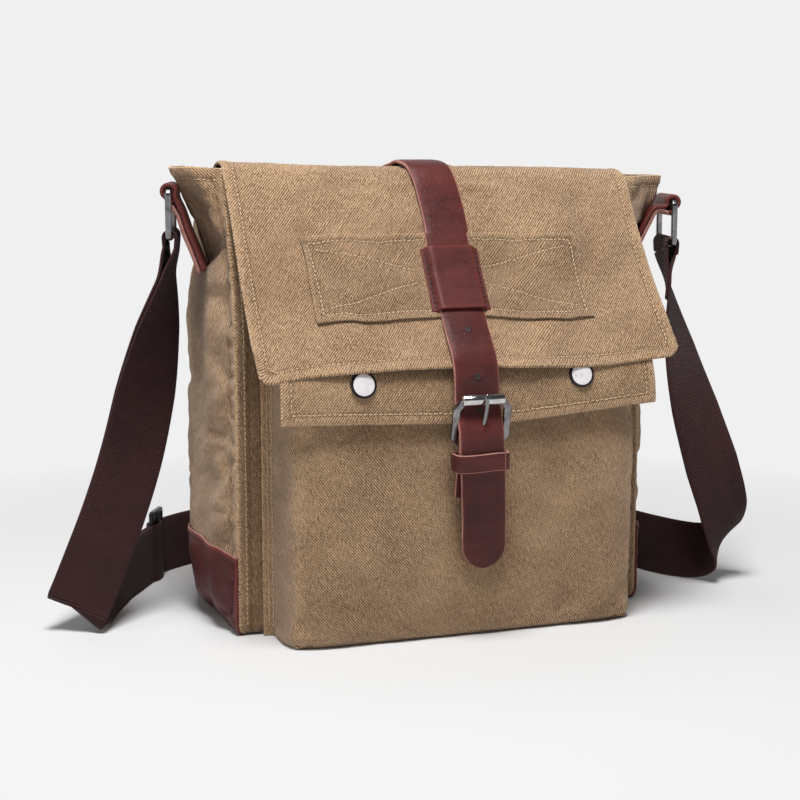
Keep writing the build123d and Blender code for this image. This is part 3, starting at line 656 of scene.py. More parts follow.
def webbing_band(name, route, layers, body, replaced, curl=0.0, carried=()):
    """Flat webbing along a route; each layer has a lift from its middle line, one at the ring, and a reach."""
    path = route_line(name + "_line", route)
    path = path[np.concatenate([[True], np.linalg.norm(np.diff(path, axis=0), axis=1) > 1e-5])]
    places, sides = (np.array(column, float) for column in zip(*route))
    share = np.maximum.accumulate([share_along(places, point) for point in path])
    along = distances(path / MM)
    steps = np.linspace(0, along[-1], int(along[-1] / WEBBING_STEP))
    middle = read_line(path / MM, along, steps)
    across = read_line(sides, np.arange(len(sides)), np.interp(steps, along, share))
    ahead = unit(np.gradient(middle, axis=0))
    across = unit(across - ahead * (across * ahead).sum(1, keepdims=True))
    normal = np.cross(across, ahead)

    def layer_sheet(lift, at_ring, reach=along[-1]):
        def shape(uu, vv):
            m, a, n = (read_line(line, steps, vv) for line in (middle, across, normal))
            height = lift + (at_ring - lift) * (1 - smooth(0, RING_GAP, vv)) + curl * (1 - (uu / WEBBING_HALF) ** 2)
            return m + a * uu[..., None] + n * height[..., None]
        return Sheet(shape, np.linspace(-WEBBING_HALF, WEBBING_HALF, 13), steps[steps <= reach])

    meshes = [sheet_mesh(name, layer_sheet(*layer), WEBBING_THICK,
                         lambda uu, vv: 0.7 * near(WEBBING_HALF - np.abs(uu), 1.2))[0] for layer in layers]
    piece = link(name, meshes[0], body, [WEBBING], replaced)
    others = [link(f"{name}_layer{k}", mesh, body, [WEBBING]) for k, mesh in enumerate(meshes[1:], 1)]
    others += [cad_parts[node] for node in carried]


webbing_band("strap_loop", LEFT_ROUTE, ((-1.15, -RING_SPREAD), (1.15, RING_SPREAD)), STRAP_BENDS["left"],
             ("shoulder_strap_loop",), carried=("strap_slider",))
webbing_band("strap_long", RIGHT_ROUTE, ((0.0, -RING_SPREAD), (1.9, RING_SPREAD, 36.0)), STRAP_BENDS["right"],
             ("shoulder_strap",), curl=0.8)

# ---- main compartment ---------------------------------------------------------------------------
HALF_WIDTH = 138.0
HALF_DEPTH = 60.0
LEAN_START = 205.0
MOUTH_TOP = 290.0
FRONT_TOP = 283.0
BACK_TOP = 290.0
GUSSET_TOP = 291.0
FRONT_MOUTH, BACK_MOUTH = -32.0, 43.0
BOTTOM_ROUND = 7.0
GUSSET_APEX = -12.0
WALL_THICK = 2.0
FLOOR_GAP = 0.9

def bottom_inset(z):
    """How far a wall's foot curls in under the bag."""
    rise = np.clip(np.asarray(z, float), 0, BOTTOM_ROUND)
    return BOTTOM_ROUND - np.sqrt(np.maximum(BOTTOM_ROUND ** 2 - (BOTTOM_ROUND - rise) ** 2, 0))


def panel_depth(z, mouth):
    """Depth of the front or back panel at a height."""
    side = -1 if mouth < 0 else 1
    lean = smooth(LEAN_START - 30, MOUTH_TOP + 45, z) / smooth(LEAN_START - 30, MOUTH_TOP + 45, MOUTH_TOP)
    straight = np.clip((np.asarray(z, float) - LEAN_START) / (MOUTH_TOP - LEAN_START), 0, None)
    lean = 0.5 * lean + 0.5 * straight
    return side * (HALF_DEPTH - 1.2 - bottom_inset(z)) + (mouth - side * HALF_DEPTH) * lean

def wall_shape(way, mouth, slack):
    """Shape of the front or back panel; slack is how far each place hangs out of its plane."""
    def shape(uu, vv):
        width = HALF_WIDTH - 0.6 * bottom_inset(vv)
        hang = way * slack(vv) * np.cos(np.pi * uu / HALF_WIDTH / 2) * smooth(0, 60, vv)
        return np.stack([-way * uu * width / HALF_WIDTH, panel_depth(vv, mouth) + hang, vv + FLOOR_GAP], -1)
    return shape

BULGE = {
    -1: ([0, 12, 35, 62, 110, 160, 205, 222, 236, 252, 270, 291],
         [1, 5.5, 9.5, 11.5, 9.5, 8.5, 9.5, 7.5, 5, 9.5, 19, 29.5], 1.008),
    1: ([0, 12, 35, 62, 110, 160, 205, 222, 236, 252, 270, 291],
        [1, 5.5, 9.5, 11.5, 11.5, 10.5, 10, 8, 7.5, 17, 30, 37.5], 0.984),
}


def gusset_shape(side):
    knots, values, stretch = BULGE[side]

    def shape(uu, vv):
        front, back = panel_depth(vv, FRONT_MOUTH), panel_depth(vv, BACK_MOUTH)
        apex = (GUSSET_APEX - front) / (back - front)
        share = (uu + HALF_DEPTH) / (2 * HALF_DEPTH)
        share = share if side > 0 else 1 - share
        peak = smooth(222, 262, vv)
        middle = 0.5 + (apex - 0.5) * peak
        warped = np.where(share < middle, share / middle / 2, 0.5 + (share - middle) / (1 - middle) / 2)
        round_rise = np.sin(np.pi * np.clip(share, 0, 1)) ** 0.75
        tent = 1 - np.abs(2 * warped - 1) ** 1.25
        x = side * (HALF_WIDTH - 0.6 * bottom_inset(vv)
                    + cubic(knots, values, vv) * (round_rise * (1 - peak) + tent * peak))
        z = vv * (1 + (stretch - 1) * smooth(200, GUSSET_TOP, vv)) + FLOOR_GAP
        return np.stack([x, front + (back - front) * share, z], -1)

    return shape


def from_edges(half, low, high):
    """Function that gives each place's distance from a sheet's nearest edge."""
    return lambda uu, vv: np.minimum(half - np.abs(uu), np.minimum(vv - low, high - vv))


def edges_held(width, low, high, band=6.0):
    """Weight that holds the sheet's four edges and frees its middle."""
    return lambda uu, vv: 1 - smooth(0.5, band, from_edges(width, low, high)(uu, vv))


def seam_wear(width, low, high):
    return lambda uu, vv: near(from_edges(width, low, high)(uu, vv), 3.0)


def spaced(low, high, step, edge=(0,)):
    """Even places with a few finer ones at each end."""
    count = max(int(round((high - low - 2 * edge[-1]) / step)), 1)
    inner = np.linspace(low + edge[-1], high - edge[-1], count + 1)
    return np.unique(np.concatenate([[low], [low + e for e in edge], inner, [high - e for e in edge], [high]]).round(4))


EDGE_STEPS = (0.5, 1.2, 2.2, 3.4, 4.8, 6.4, 8.2)
SHORT_STEPS = (0.4, 1.0, 2.0)


def hem_profile(depth, line=6.0, raised=0.45, sunk=0.5):
    """Height of a turned and stitched hem, by distance from the edge."""
    return raised * ridge(depth - line * 0.45, line * 0.4) - sunk * ridge(depth - line, 1.1)


def groove_shade(depth, line):
    """Dirt and painted shade along a stitched line, by distance from the edge."""
    return 1.4 * ridge(depth - line, 1.0)


def wall(name, sheet, node, width, top, fold=1.0, paint=CANVAS, shade=0.0):
    """Finishes a wall of the bag: its hem, seams and folds, and the piece; shade is painted shade over the whole wall.
    """
    sheet = sheet.refine(spaced(-width, width, 2.4, EDGE_STEPS), spaced(0, top, 2.4, EDGE_STEPS))
    sheet.push(lambda uu, vv: hem_profile(top - vv, 7.0) + 0.5 * ridge(width - np.abs(uu), 2.2)
               - 0.35 * ridge(width - np.abs(uu) - 4.0, 1.2))
    free = fold * (1 - edges_held(width, 0, top, 16)(sheet.uu, sheet.vv))
    sheet.push(free * (drape(sheet, 78, 62.0, 17.0, 14.0 + width) + 0.35 * drape(sheet, 30, 30.0, 9.0, 4.0 + width)))
    sheet.crumple((0.22, 14.0, 3.0), (0.10, 5.0, 6.0))
    worn_and_shaded = seam_wear(width, 0, top)
    cloth_piece(name, sheet, WALL_THICK, paint, (node,), lambda uu, vv: worn_and_shaded(uu, vv) - shade
                - groove_shade(np.minimum(width - np.abs(uu), top - vv), 6.0))
    return sheet


front = Sheet(wall_shape(-1, FRONT_MOUTH, lambda vv: 1.5), np.linspace(-HALF_WIDTH, HALF_WIDTH, 40),
              np.linspace(0, FRONT_TOP, 42))
# The front panel shows only as a strip beside the pocket; its darker canvas and shade=0.5 paint the shade that falls
# there.
front = wall("front_cloth", front, "front_panel", HALF_WIDTH, FRONT_TOP, paint=CANVAS_SHADE, shade=0.5)
back = Sheet(wall_shape(1, BACK_MOUTH, lambda vv: 3.5 * (1 - smooth(230, 285, vv))),
             np.linspace(-HALF_WIDTH, HALF_WIDTH, 48), np.linspace(0, BACK_TOP, 50))
back.settle(edges_held(HALF_WIDTH, 0, BACK_TOP), 0.022, 0.9, inward=2.0, outward=4.0, seed=4)
wall("back_cloth", back, "back_panel", HALF_WIDTH, BACK_TOP)
TAB_HEIGHT = 262.0
SIDES = {"left": -1, "right": 1}
gussets = {}


def gusset_hold(uu, vv):
    edge = edges_held(HALF_DEPTH, 0, GUSSET_TOP + 20, 9)(uu, vv)
    return np.maximum(edge, 0.9 * np.exp(-((vv - TAB_HEIGHT) / 26) ** 2 - (uu / 16) ** 2))


for label, side in SIDES.items():
    gusset = Sheet(gusset_shape(side), np.linspace(-HALF_DEPTH, HALF_DEPTH, 34), np.linspace(0, GUSSET_TOP, 76))
    gusset.settle(gusset_hold, 0.05, 0.8, frames=30, inward=3.0, outward=3.6, seed=9 + side)
    gussets[label] = wall(f"gusset_cloth_{label}", gusset, f"gusset_{label}", HALF_DEPTH, GUSSET_TOP, fold=3.0)

SEAM_X = HALF_WIDTH - 4.0
stitching("front_seams", front, [[(-SEAM_X, 6), (-SEAM_X, 276)], [(SEAM_X, 6), (SEAM_X, 276)]], THREAD, lift=1.05)
for label, gusset in gussets.items():
    hem = GUSSET_TOP - 6.5
    stitching(f"gusset_hem_{label}", gusset, [[(-56, hem), (56, hem)]], THREAD, lift=1.05)


def base_shape(uu, vv):
    return np.stack([uu, vv, FLOOR_GAP + 0.25 * np.cos(uu / 30)], -1)


base = Sheet(base_shape, np.linspace(-HALF_WIDTH + 4, HALF_WIDTH - 4, 60), np.linspace(-54, 54, 28))
base.crumple((0.12, 20.0, 8.0))
cloth_piece("base_cloth", base, 1.6, CANVAS, ("base_panel",))

# leather over the lower corners of the side panels
PATCH_TOP = 52.0
PATCH_SEAM = 4.0
for label, side in SIDES.items():
    def patch_shape(uu, vv, sheet=gussets[label], side=side):
        rise = 4.5 * (1 - (uu / HALF_DEPTH) ** 2) + 2.0 * uu / HALF_DEPTH * side
        z = np.clip(vv * (PATCH_TOP + rise) / PATCH_TOP, 0, GUSSET_TOP)
        return sheet.read(np.clip(uu, -HALF_DEPTH, HALF_DEPTH), z, 1.9)[0]

    patch = Sheet(patch_shape, spaced(-HALF_DEPTH + 0.4, HALF_DEPTH - 0.4, 2.4, (0.6, 1.5, 3.0)),
                  spaced(0.2, PATCH_TOP, 1.8, (0.5, 1.2, 2.4)))
    patch.push(lambda uu, vv: 0.5 * ridge(PATCH_TOP - vv - 1.5, 1.6) - 0.45 * ridge(PATCH_TOP - vv - PATCH_SEAM, 1.0))
    cloth_piece(f"corner_leather_{label}", patch, 1.7, LEATHER, (f"corner_patch_{label}",),
                seam_wear(HALF_DEPTH, 0, PATCH_TOP), edge=LEATHER_EDGE, raw_top=True)
    stitching(f"corner_stitches_{label}", patch, [[(-57, PATCH_TOP - PATCH_SEAM), (57, PATCH_TOP - PATCH_SEAM)]],
              DARK_THREAD, lift=0.9)

LINING_ROUND = 100.0


def lining_shape(uu, vv):
    """Soft bag of lining inside: u goes round, v goes up."""
    angle = uu / LINING_ROUND
    front, back = -panel_depth(vv, FRONT_MOUTH), panel_depth(vv, BACK_MOUTH)
    depth = np.where(np.sin(angle) < 0, front, back) - 4.5
    corner = (np.abs(np.cos(angle)) ** 6 + np.abs(np.sin(angle)) ** 6) ** (-1 / 6)
    x = (HALF_WIDTH - 3.5) * np.cos(angle) * corner
    return np.stack([x, depth * np.sin(angle) * corner, 8.5 + vv * 0.94], -1)


lining = Sheet(lining_shape, np.linspace(0, TAU * LINING_ROUND, 181), np.linspace(0, 285, 60))
lining.crumple((1.2, 30.0, 12.0), (0.5, 11.0, 2.0))
cloth_piece("lining_cloth", lining, 0.8, LINING, ("lining",))

# ---- front pocket -------------------------------------------------------------------------------
POCKET_HALF = 118.0
POCKET_TOP = 166.0
POCKET_SECTION = [
    (-123.5, -61.4), (-120.5, -61.6), (-118.2, -64.0), (-117.6, -78.0), (-116.6, -92.0), (-113.4, -100.6),
    (-104.0, -104.0), (-60.0, -106.2), (0.0, -106.8), (60.0, -106.2), (104.0, -104.0), (113.4, -100.6),
    (116.6, -92.0), (117.6, -78.0), (118.2, -64.0), (120.5, -61.6), (123.5, -61.4),
]
pocket_at, pocket_length = line_through(POCKET_SECTION)
POCKET_BACK = -61.4
POCKET_SEAMS = (3.2, 7.4)
POCKET_CORNER = 47.0


def pocket_shape(uu, vv):
    flat = pocket_at(uu)
    x, y = flat[..., 0], flat[..., 1]
    inset = bottom_inset(vv)
    ahead = np.clip((POCKET_BACK - y) / 45.0, 0, 1)
    high = smooth(110, POCKET_TOP, vv)
    low = 1 - smooth(0, 60, vv)
    x = x * (1 - 0.035 * high * ahead)
    y = y + inset * ahead + (3.2 * high + 2.6 * low) * ahead
    return np.stack([x - np.sign(x) * inset * 0.5 * ahead, y, vv + FLOOR_GAP], -1)


def from_pocket_side(uu):
    return np.minimum(uu, pocket_length - uu)


def pocket_hold(uu, vv):
    return np.maximum(1 - smooth(4, 16, from_pocket_side(uu)),
                      np.maximum(1 - smooth(1, 9, vv), 0.6 * smooth(150, 166, vv)))


def pocket_ridges(uu, vv):
    """Turned edge that stands up at the pocket's sides, and the stitched flange."""
    side = from_pocket_side(uu)
    return hem_profile(side, 4.6, 0.5, 0.4) - 0.3 * ridge(side - 7.5, 0.9) + 0.3 * ridge(vv, 3.0)


# Pale worn edges and corner, dirt and painted shade along the stitched line, and painted shade on the pocket's side
# wall.
def pocket_wear_and_shade(uu, vv):
    side = from_pocket_side(uu)
    return (0.8 * near(np.minimum(side, vv), 3.0) + 0.5 * ridge(side - POCKET_CORNER, 4.0)
            - groove_shade(side, POCKET_SEAMS[1]) - 0.25 * smooth(8, 14, side) * (1 - smooth(30, 44, side)))


pocket = Sheet(pocket_shape, np.linspace(0, pocket_length, 96), np.linspace(0, POCKET_TOP, 46))
pocket.settle(pocket_hold, 0.018, 0.9, frames=26, inward=1.6, outward=2.2, seed=21)
pocket = pocket.refine(spaced(0, pocket_length, 2.0, EDGE_STEPS), spaced(0, POCKET_TOP, 2.2, EDGE_STEPS))
pocket.push(1.3 * drape(pocket, 60, 70.0, 24.0, 5.5) * smooth(8, 30, pocket.vv)
            * smooth(48, 70, from_pocket_side(pocket.uu)))
pocket.crumple((0.28, 16.0, 5.0), (0.14, 6.0, 1.0))
pocket.push(pocket_ridges)
cloth_piece("pocket_cloth", pocket, 1.8, CANVAS, ("front_pocket",), pocket_wear_and_shade)
side_lines = [[(k, 5), (k, 160)] for k in POCKET_SEAMS]
side_lines += [[(pocket_length - k, 5), (pocket_length - k, 160)] for k in POCKET_SEAMS]
stitching("pocket_stitches", pocket, side_lines, THREAD, pitch=2.9)


def pocket_base_shape(uu, vv):
    return np.stack([uu, vv, np.full(np.shape(uu), 1.6)], -1)


cloth_piece("pocket_base", Sheet(pocket_base_shape, np.linspace(-113, 113, 50), np.linspace(-99, -58, 12)), 1.2, CANVAS)

# ---- pocket flap --------------------------------------------------------------------------------
POCKET_FLAP_HALF = 122.5
pocket_flap_at, pocket_flap_length = line_through([
    (-62.3, 198.0), (-62.8, 192.0), (-70.0, 187.8), (-84.0, 183.2), (-99.0, 177.6), (-107.0, 171.5), (-110.4, 162.0),
    (-112.2, 150.0), (-112.6, 142.5),
])


def pocket_flap_shape(uu, vv):
    flat = pocket_flap_at(vv)
    low = smooth(30, pocket_flap_length, vv)
    wave = 0.9 * np.sin(uu / 34.0 + 0.6) * low
    drop = cubic([-125, -62, -17, 22, 58, 125], [1.6, -0.8, -2.6, -3.4, -1.0, 4.2], uu) * low
    return np.stack([uu * (1 + 0.012 * low), flat[..., 0] - wave, flat[..., 1] + drop], -1)
def hem_wear_and_shade(edge, width, line):
    """Pale rubbed edge and dark stitched line of a hem; the dark line is dirt and painted shade."""
    return lambda uu, vv: near(edge(uu, vv), width) - groove_shade(edge(uu, vv), line)


pocket_flap = Sheet(pocket_flap_shape, spaced(-POCKET_FLAP_HALF, POCKET_FLAP_HALF, 2.4, EDGE_STEPS),
                    spaced(0, pocket_flap_length, 2.0, EDGE_STEPS), DOWN)
pocket_flap_edge = from_edges(POCKET_FLAP_HALF, -np.inf, pocket_flap_length)
POCKET_FLAP_SEAM = 5.6
pocket_flap.push(lambda uu, vv: hem_profile(pocket_flap_edge(uu, vv), POCKET_FLAP_SEAM, 0.5, 0.45))
pocket_flap.crumple((0.25, 13.0, 15.0), (0.12, 5.0, 3.0))
cloth_piece("pocket_flap_cloth", pocket_flap, 2.2, CANVAS, ("pocket_flap",),
            hem_wear_and_shade(pocket_flap_edge, 2.2, POCKET_FLAP_SEAM), POCKET_FLAP_BEND)
seam_u, seam_v = POCKET_FLAP_HALF - POCKET_FLAP_SEAM, pocket_flap_length - POCKET_FLAP_SEAM
stitching("pocket_flap_stitches", pocket_flap, [[(-seam_u, 4), (-seam_u, seam_v), (seam_u, seam_v), (seam_u, 4)]],
          THREAD, POCKET_FLAP_BEND, lift=1.15)


def v_at_height(line, length, height):
    """Distance along a falling line where it reaches a height."""
    steps = np.linspace(0, length, 800)
    heights = line(steps)[:, 1]
    falling = np.argmax(heights)
    return float(np.interp(-height, -heights[falling:], steps[falling:]))


def turned(name, profile, centre, normal, body, materials, bands, replaced=(), sides=40):
    """Round part turned about a normal; profile is (radius, lift), bands gives each band's material."""
    side = unit(np.cross((0, 0, 1), normal))
    up = np.cross(normal, side)
    turns = TAU * np.arange(sides)[:, None] / sides
    circle = side * np.cos(turns) + up * np.sin(turns)
    rings = [centre + normal * lift + radius * circle for radius, lift in profile]
    mesh = new_mesh(name, rings, tube_faces(len(profile), sides))
    link(name, mesh, body, materials, replaced)
    mesh.polygons.foreach_set("material_index", [number for number in bands for _ in range(sides)]
                              + [bands[0], bands[-1]])


CAP_PROFILE = [(7.8, 0.0), (8.3, 0.6), (8.2, 1.5), (7.6, 1.9), (6.8, 1.65), (6.5, 1.75), (5.4, 2.1), (3.4, 2.4),
               (1.6, 2.5), (0.4, 2.52)]
CAP_BANDS = [0] * 4 + [1] * 5
CAP_X, CAP_HEIGHT = 71.8, 165.5
for label, side in SIDES.items():
    place, normal = pocket_flap.read(side * CAP_X, v_at_height(pocket_flap_at, pocket_flap_length, CAP_HEIGHT), 1.0)
    turned(f"snap_cap_{label}", CAP_PROFILE, place, normal, "pocket_flap", [RIM, CAP_PAINTED_REFLECTION], CAP_BANDS, ("snap_caps",))

# ---- main flap ----------------------------------------------------------------------------------
FLAP_HALF = 139.5
FLAP_LINE = [
    (45.0, 287.5), (32.0, 291.0), (12.0, 294.0), (-6.0, 297.0), (-20.0, 298.8), (-29.5, 296.4), (-36.0, 289.0),
    (-43.6, 276.0), (-56.5, 253.0), (-71.0, 228.0), (-86.0, 206.0), (-99.5, 188.5), (-112.0, 173.0),
]
flap_at, flap_length = line_through(FLAP_LINE)
FLAP_CORNER = 9.0
FLAP_SHIFT = 3.2
FLAP_FLARE = 0.010
FLAP_SEAM = 6.0
FLAP_TOP = ([-140, -60, 40, 100, 140], [0.0, -3.2, -3.8, -5.0, -6.5])
FLAP_END = ([-140, -134, -66, 13, 74, 140], [-5.6, -4.6, 0.6, 1.6, -2.4, 3.0])
FOLD_V = float(distances(np.array(FLAP_LINE[:6]))[-1])


def flap_shape(uu, vv):
    inside = np.clip(FLAP_CORNER - (FLAP_HALF - np.abs(uu)), 0, FLAP_CORNER)
    cut = FLAP_CORNER - np.sqrt(np.maximum(FLAP_CORNER ** 2 - inside ** 2, 0))
    flat = flap_at(vv - cut * smooth(flap_length - 30, flap_length, vv))
    low = smooth(FOLD_V, flap_length, vv)
    top = cubic(*FLAP_TOP, uu) * (1 - low) * smooth(0, 40, vv)
    top = top - 5.0 * smooth(95, 136, -uu) * smooth(0, 14, vv) * (1 - smooth(38, 64, vv))
    wave = low * (1.6 * np.sin(uu / 41.0 + 1.2) + np.sin(uu / 19.0 + vv / 40.0))
    x = uu * (1 + FLAP_FLARE * low) + FLAP_SHIFT * low * smooth(24, 75, np.abs(uu))
    return np.stack([x, flat[..., 0] - wave, flat[..., 1] + cubic(*FLAP_END, uu) * low + top], -1)


def flap_hold(uu, vv):
    strap = 1 - smooth(12, 26, np.abs(uu))
    patch = (1 - smooth(88, 100, np.abs(uu))) * (smooth(88, 96, vv) - smooth(146, 154, vv))
    return np.maximum(np.maximum(1 - smooth(4, 14, vv), 0.85 * strap), 0.75 * patch)


flap = Sheet(flap_shape, np.linspace(-FLAP_HALF, FLAP_HALF, 62), np.linspace(0, flap_length, 44), DOWN)
flap.settle(flap_hold, 0.02, 0.35, gravity=0.4, inward=0.7, outward=3.0, seed=31)
flap = flap.refine(spaced(-FLAP_HALF, FLAP_HALF, 2.2, EDGE_STEPS), spaced(0, flap_length, 2.0, EDGE_STEPS))
flap_edge = from_edges(FLAP_HALF, -np.inf, flap_length)
flap.push(lambda uu, vv: hem_profile(flap_edge(uu, vv), FLAP_SEAM, 0.55, 0.5))
hanging = (smooth(FOLD_V + 5, FOLD_V + 60, flap.vv) * smooth(3, 28, flap_edge(flap.uu, flap.vv))
           * smooth(15, 45, np.abs(flap.uu)))
flap.push(3.0 * hanging * np.where(flap.uu < 0, drape(flap, 50, 80.0, 19.0, 3.4), drape(flap, -50, 80.0, 19.0, 8.1)))
flap.crumple((0.28, 15.0, 25.0), (0.13, 5.5, 4.0))
cloth_piece("flap_cloth", flap, 2.6, CANVAS, ("main_flap",), hem_wear_and_shade(flap_edge, 2.4, FLAP_SEAM), FLAP_BEND)
seam_u = FLAP_HALF - FLAP_SEAM
round_seam = [(seam_u, 8), (seam_u, flap_length - 11), (seam_u - 4.0, flap_length - 6.4)]
stitching("flap_stitches", flap, [[(-u, v) for u, v in round_seam] + round_seam[::-1]], THREAD, FLAP_BEND, lift=1.35)

PATCH_HALF = 92.5
PATCH_SHIFT = -4.8
PATCH_LINE = 4.6
CROSS_INSET = 9.0
CROSS_GAP = 20.0
patch_low, patch_high = (v_at_height(flap_at, flap_length, z) for z in (254.0, 201.0))
patch_edge = from_edges(PATCH_HALF, patch_low, patch_high)


def flap_patch_shape(uu, vv):
    return flap.read(uu + PATCH_SHIFT, vv, 2.4)[0]


def cross_lines():
    """The stitched cross, which the sleeve hides in the middle."""
    low, high, middle = patch_low + CROSS_INSET, patch_high - CROSS_INSET, (patch_low + patch_high) / 2
    lines = []
    for side in (-1, 1):
        outer = side * (PATCH_HALF - CROSS_INSET)
        lines += [[(outer, low), (side * CROSS_GAP, middle - 5)], [(outer, high), (side * CROSS_GAP, middle + 5)]]
    return lines


def along_lines(uu, vv, lines, width):
    """How near each place is to a set of lines, from 0 to 1."""
    nearest = np.full(np.shape(uu), 1e9)
    for (u0, v0), (u1, v1) in lines:
        run = np.array([u1 - u0, v1 - v0])
        t = np.clip(((uu - u0) * run[0] + (vv - v0) * run[1]) / (run @ run), 0, 1)
        nearest = np.minimum(nearest, np.hypot(uu - u0 - run[0] * t, vv - v0 - run[1] * t))
    return ridge(nearest, width)


CROSS = cross_lines()
flap_patch = Sheet(flap_patch_shape, spaced(-PATCH_HALF, PATCH_HALF, 2.2, EDGE_STEPS),
                   spaced(patch_low, patch_high, 2.0, EDGE_STEPS), DOWN)
flap_patch.push(lambda uu, vv: hem_profile(patch_edge(uu, vv), PATCH_LINE, 0.4, 0.4) + 0.3
                - 0.45 * along_lines(uu, vv, CROSS, 1.6))
flap_patch.crumple((0.2, 12.0, 35.0), (0.1, 4.5, 5.0))
patch_hem = hem_wear_and_shade(patch_edge, 1.8, PATCH_LINE)
# Tone darker along the sunk cross lines: painted shade.
cloth_piece("patch_cloth", flap_patch, 1.4, CANVAS_SHADE, ("flap_patch",),
            lambda uu, vv: patch_hem(uu, vv) - 0.8 * along_lines(uu, vv, CROSS, 1.2), "main_flap")
seam_u, low_v, high_v = PATCH_HALF - PATCH_LINE, patch_low + PATCH_LINE, patch_high - PATCH_LINE
outline = [(-seam_u, low_v), (-seam_u, high_v), (seam_u, high_v), (seam_u, low_v), (-seam_u, low_v)]
stitching("patch_stitches", flap_patch, [outline, *CROSS], THREAD, "main_flap", 3.0, 0.75)

# ---- closing strap ------------------------------------------------------------------------------
STRAP_HALF = 14.0
STRAP_LINE = [
    (45.6, 291.4), (33.0, 294.6), (12.6, 297.6), (-5.6, 300.6), (-20.4, 302.6), (-32.0, 299.6), (-39.6, 291.4),
    (-47.6, 278.0), (-60.6, 255.4), (-75.2, 230.6), (-90.4, 208.9), (-104.0, 191.5), (-114.6, 178.6), (-118.0, 168.5),
    (-119.0, 158.0), (-120.6, 149.0), (-123.6, 142.0), (-126.0, 134.5), (-126.2, 124.0), (-124.6, 108.0),
    (-121.2, 92.0), (-117.6, 72.0), (-114.4, 47.5),
]
STRAP_SHIFT_BY_HEIGHT = ([47.5, 79.0, 120.0, 157.0, 250.0, 300.0], [5.6, 3.8, -0.6, -1.6, -0.8, -0.8])
STRAP_SHIFT_BY_DEPTH = ([-52, -40, -22, 0, 46], [0.6, -1.2, -5.8, -7.0, -7.0])
STRAP_TOP_FROM = -60.0
strap_at, strap_length = line_through(STRAP_LINE)


def strap_v(height):
    return v_at_height(strap_at, strap_length, height)


def strap_shape(uu, vv):
    round_end = STRAP_HALF - np.clip(strap_length - vv, 0, STRAP_HALF)
    half = np.sqrt(np.maximum(STRAP_HALF ** 2 - round_end ** 2, 0)) * 0.98 + 0.28
    y, z = np.moveaxis(strap_at(vv), -1, 0)
    shift = np.where(y > STRAP_TOP_FROM, np.interp(y, *STRAP_SHIFT_BY_DEPTH), np.interp(z, *STRAP_SHIFT_BY_HEIGHT))
    drop = -3.8 * smooth(0, 40, vv) * (1 - smooth(FOLD_V, flap_length, vv))
    return np.stack([uu * half / STRAP_HALF + shift, y + 0.5 * (uu / STRAP_HALF) ** 2, z + drop], -1)


def strap_wear(uu, vv):
    bend, fold = ridge(vv - strap_v(140.0), 9.0), ridge(vv - strap_v(292.0), 12.0)
    return 0.55 * near(STRAP_HALF - np.abs(uu), 1.0) + 0.35 * bend + 0.30 * fold


half_u = np.array([0, 3, 6, 9, 11, 12.4, 13.2, 13.7, 14])
strap_us = np.concatenate([-half_u[:0:-1], half_u])
tip_turns = np.linspace(0, np.pi / 2, 22)
strap_vs = np.unique(np.concatenate([np.linspace(0, strap_length - 16, 260),
                                     strap_length - STRAP_HALF * (1 - np.cos(tip_turns))]))
strap_cloth = Sheet(strap_shape, strap_us, strap_vs, DOWN)
strap_cloth.push(lambda uu, vv: 0.35 * smooth(0, 3.2, STRAP_HALF - np.abs(uu)) - 0.2)
strap_cloth.crumple((0.22, 18.0, 44.0), (0.07, 4.0, 6.0))
cloth_piece("strap_leather", strap_cloth, 2.2, LEATHER, ("closing_strap",), strap_wear, FLAP_BEND, LEATHER_EDGE)

# Each strap hole is a leather ring round a dark disc that paints the shade inside the hole.
HOLE_HEIGHTS = (195.5, 168.6, 148.0)
HOLE_PROFILE = [(2.5, -0.3), (2.3, 0.12), (1.8, 0.14), (1.7, 0.10), (0.2, 0.08)]
for number, height in enumerate(HOLE_HEIGHTS):
    place, normal = strap_cloth.read(0.0, strap_v(height), 1.2)
    turned(f"strap_hole_{number}", HOLE_PROFILE, place, normal, "main_flap", [LEATHER, BOARD_AND_HOLE_SHADE], [0, 0, 1, 1], sides=20)

# sleeve that holds the strap to the patch
SLEEVE_HALF = 19.0
SLEEVE_SEAM = SLEEVE_HALF - 2.4
sleeve_low, sleeve_high = strap_v(246.5), strap_v(208.0)
sleeve_edge = from_edges(SLEEVE_HALF, sleeve_low, sleeve_high)


def sleeve_shape(uu, vv):
    points, normals = strap_cloth.read(0 * uu, vv, 0.0)
    over = smooth(SLEEVE_HALF - 1.0, SLEEVE_HALF - 5.6, np.abs(uu))
    return points + normals * (-1.2 + 3.9 * over)[..., None] + np.stack([uu + 0.3, 0 * uu, 0 * uu], -1)


sleeve = Sheet(sleeve_shape, spaced(-SLEEVE_HALF, SLEEVE_HALF, 1.4, (0.4, 1.0, 1.8, 2.6, 3.6)),
               spaced(sleeve_low, sleeve_high, 1.8, SHORT_STEPS), DOWN)
sleeve.crumple((0.16, 9.0, 52.0))
cloth_piece("sleeve_leather", sleeve, 1.8, LEATHER, ("strap_sleeve",),
            lambda uu, vv: 0.6 * near(sleeve_edge(uu, vv), 1.2) + 0.35 * ridge(np.abs(uu) - 13.4, 1.4), "main_flap")
stitching("sleeve_stitches", sleeve, [[(side * SLEEVE_SEAM, sleeve_low + 1), (side * SLEEVE_SEAM, sleeve_high - 1)]
                                      for side in (-1, 1)], SLEEVE_THREAD, "main_flap", 3.4, 1.0)

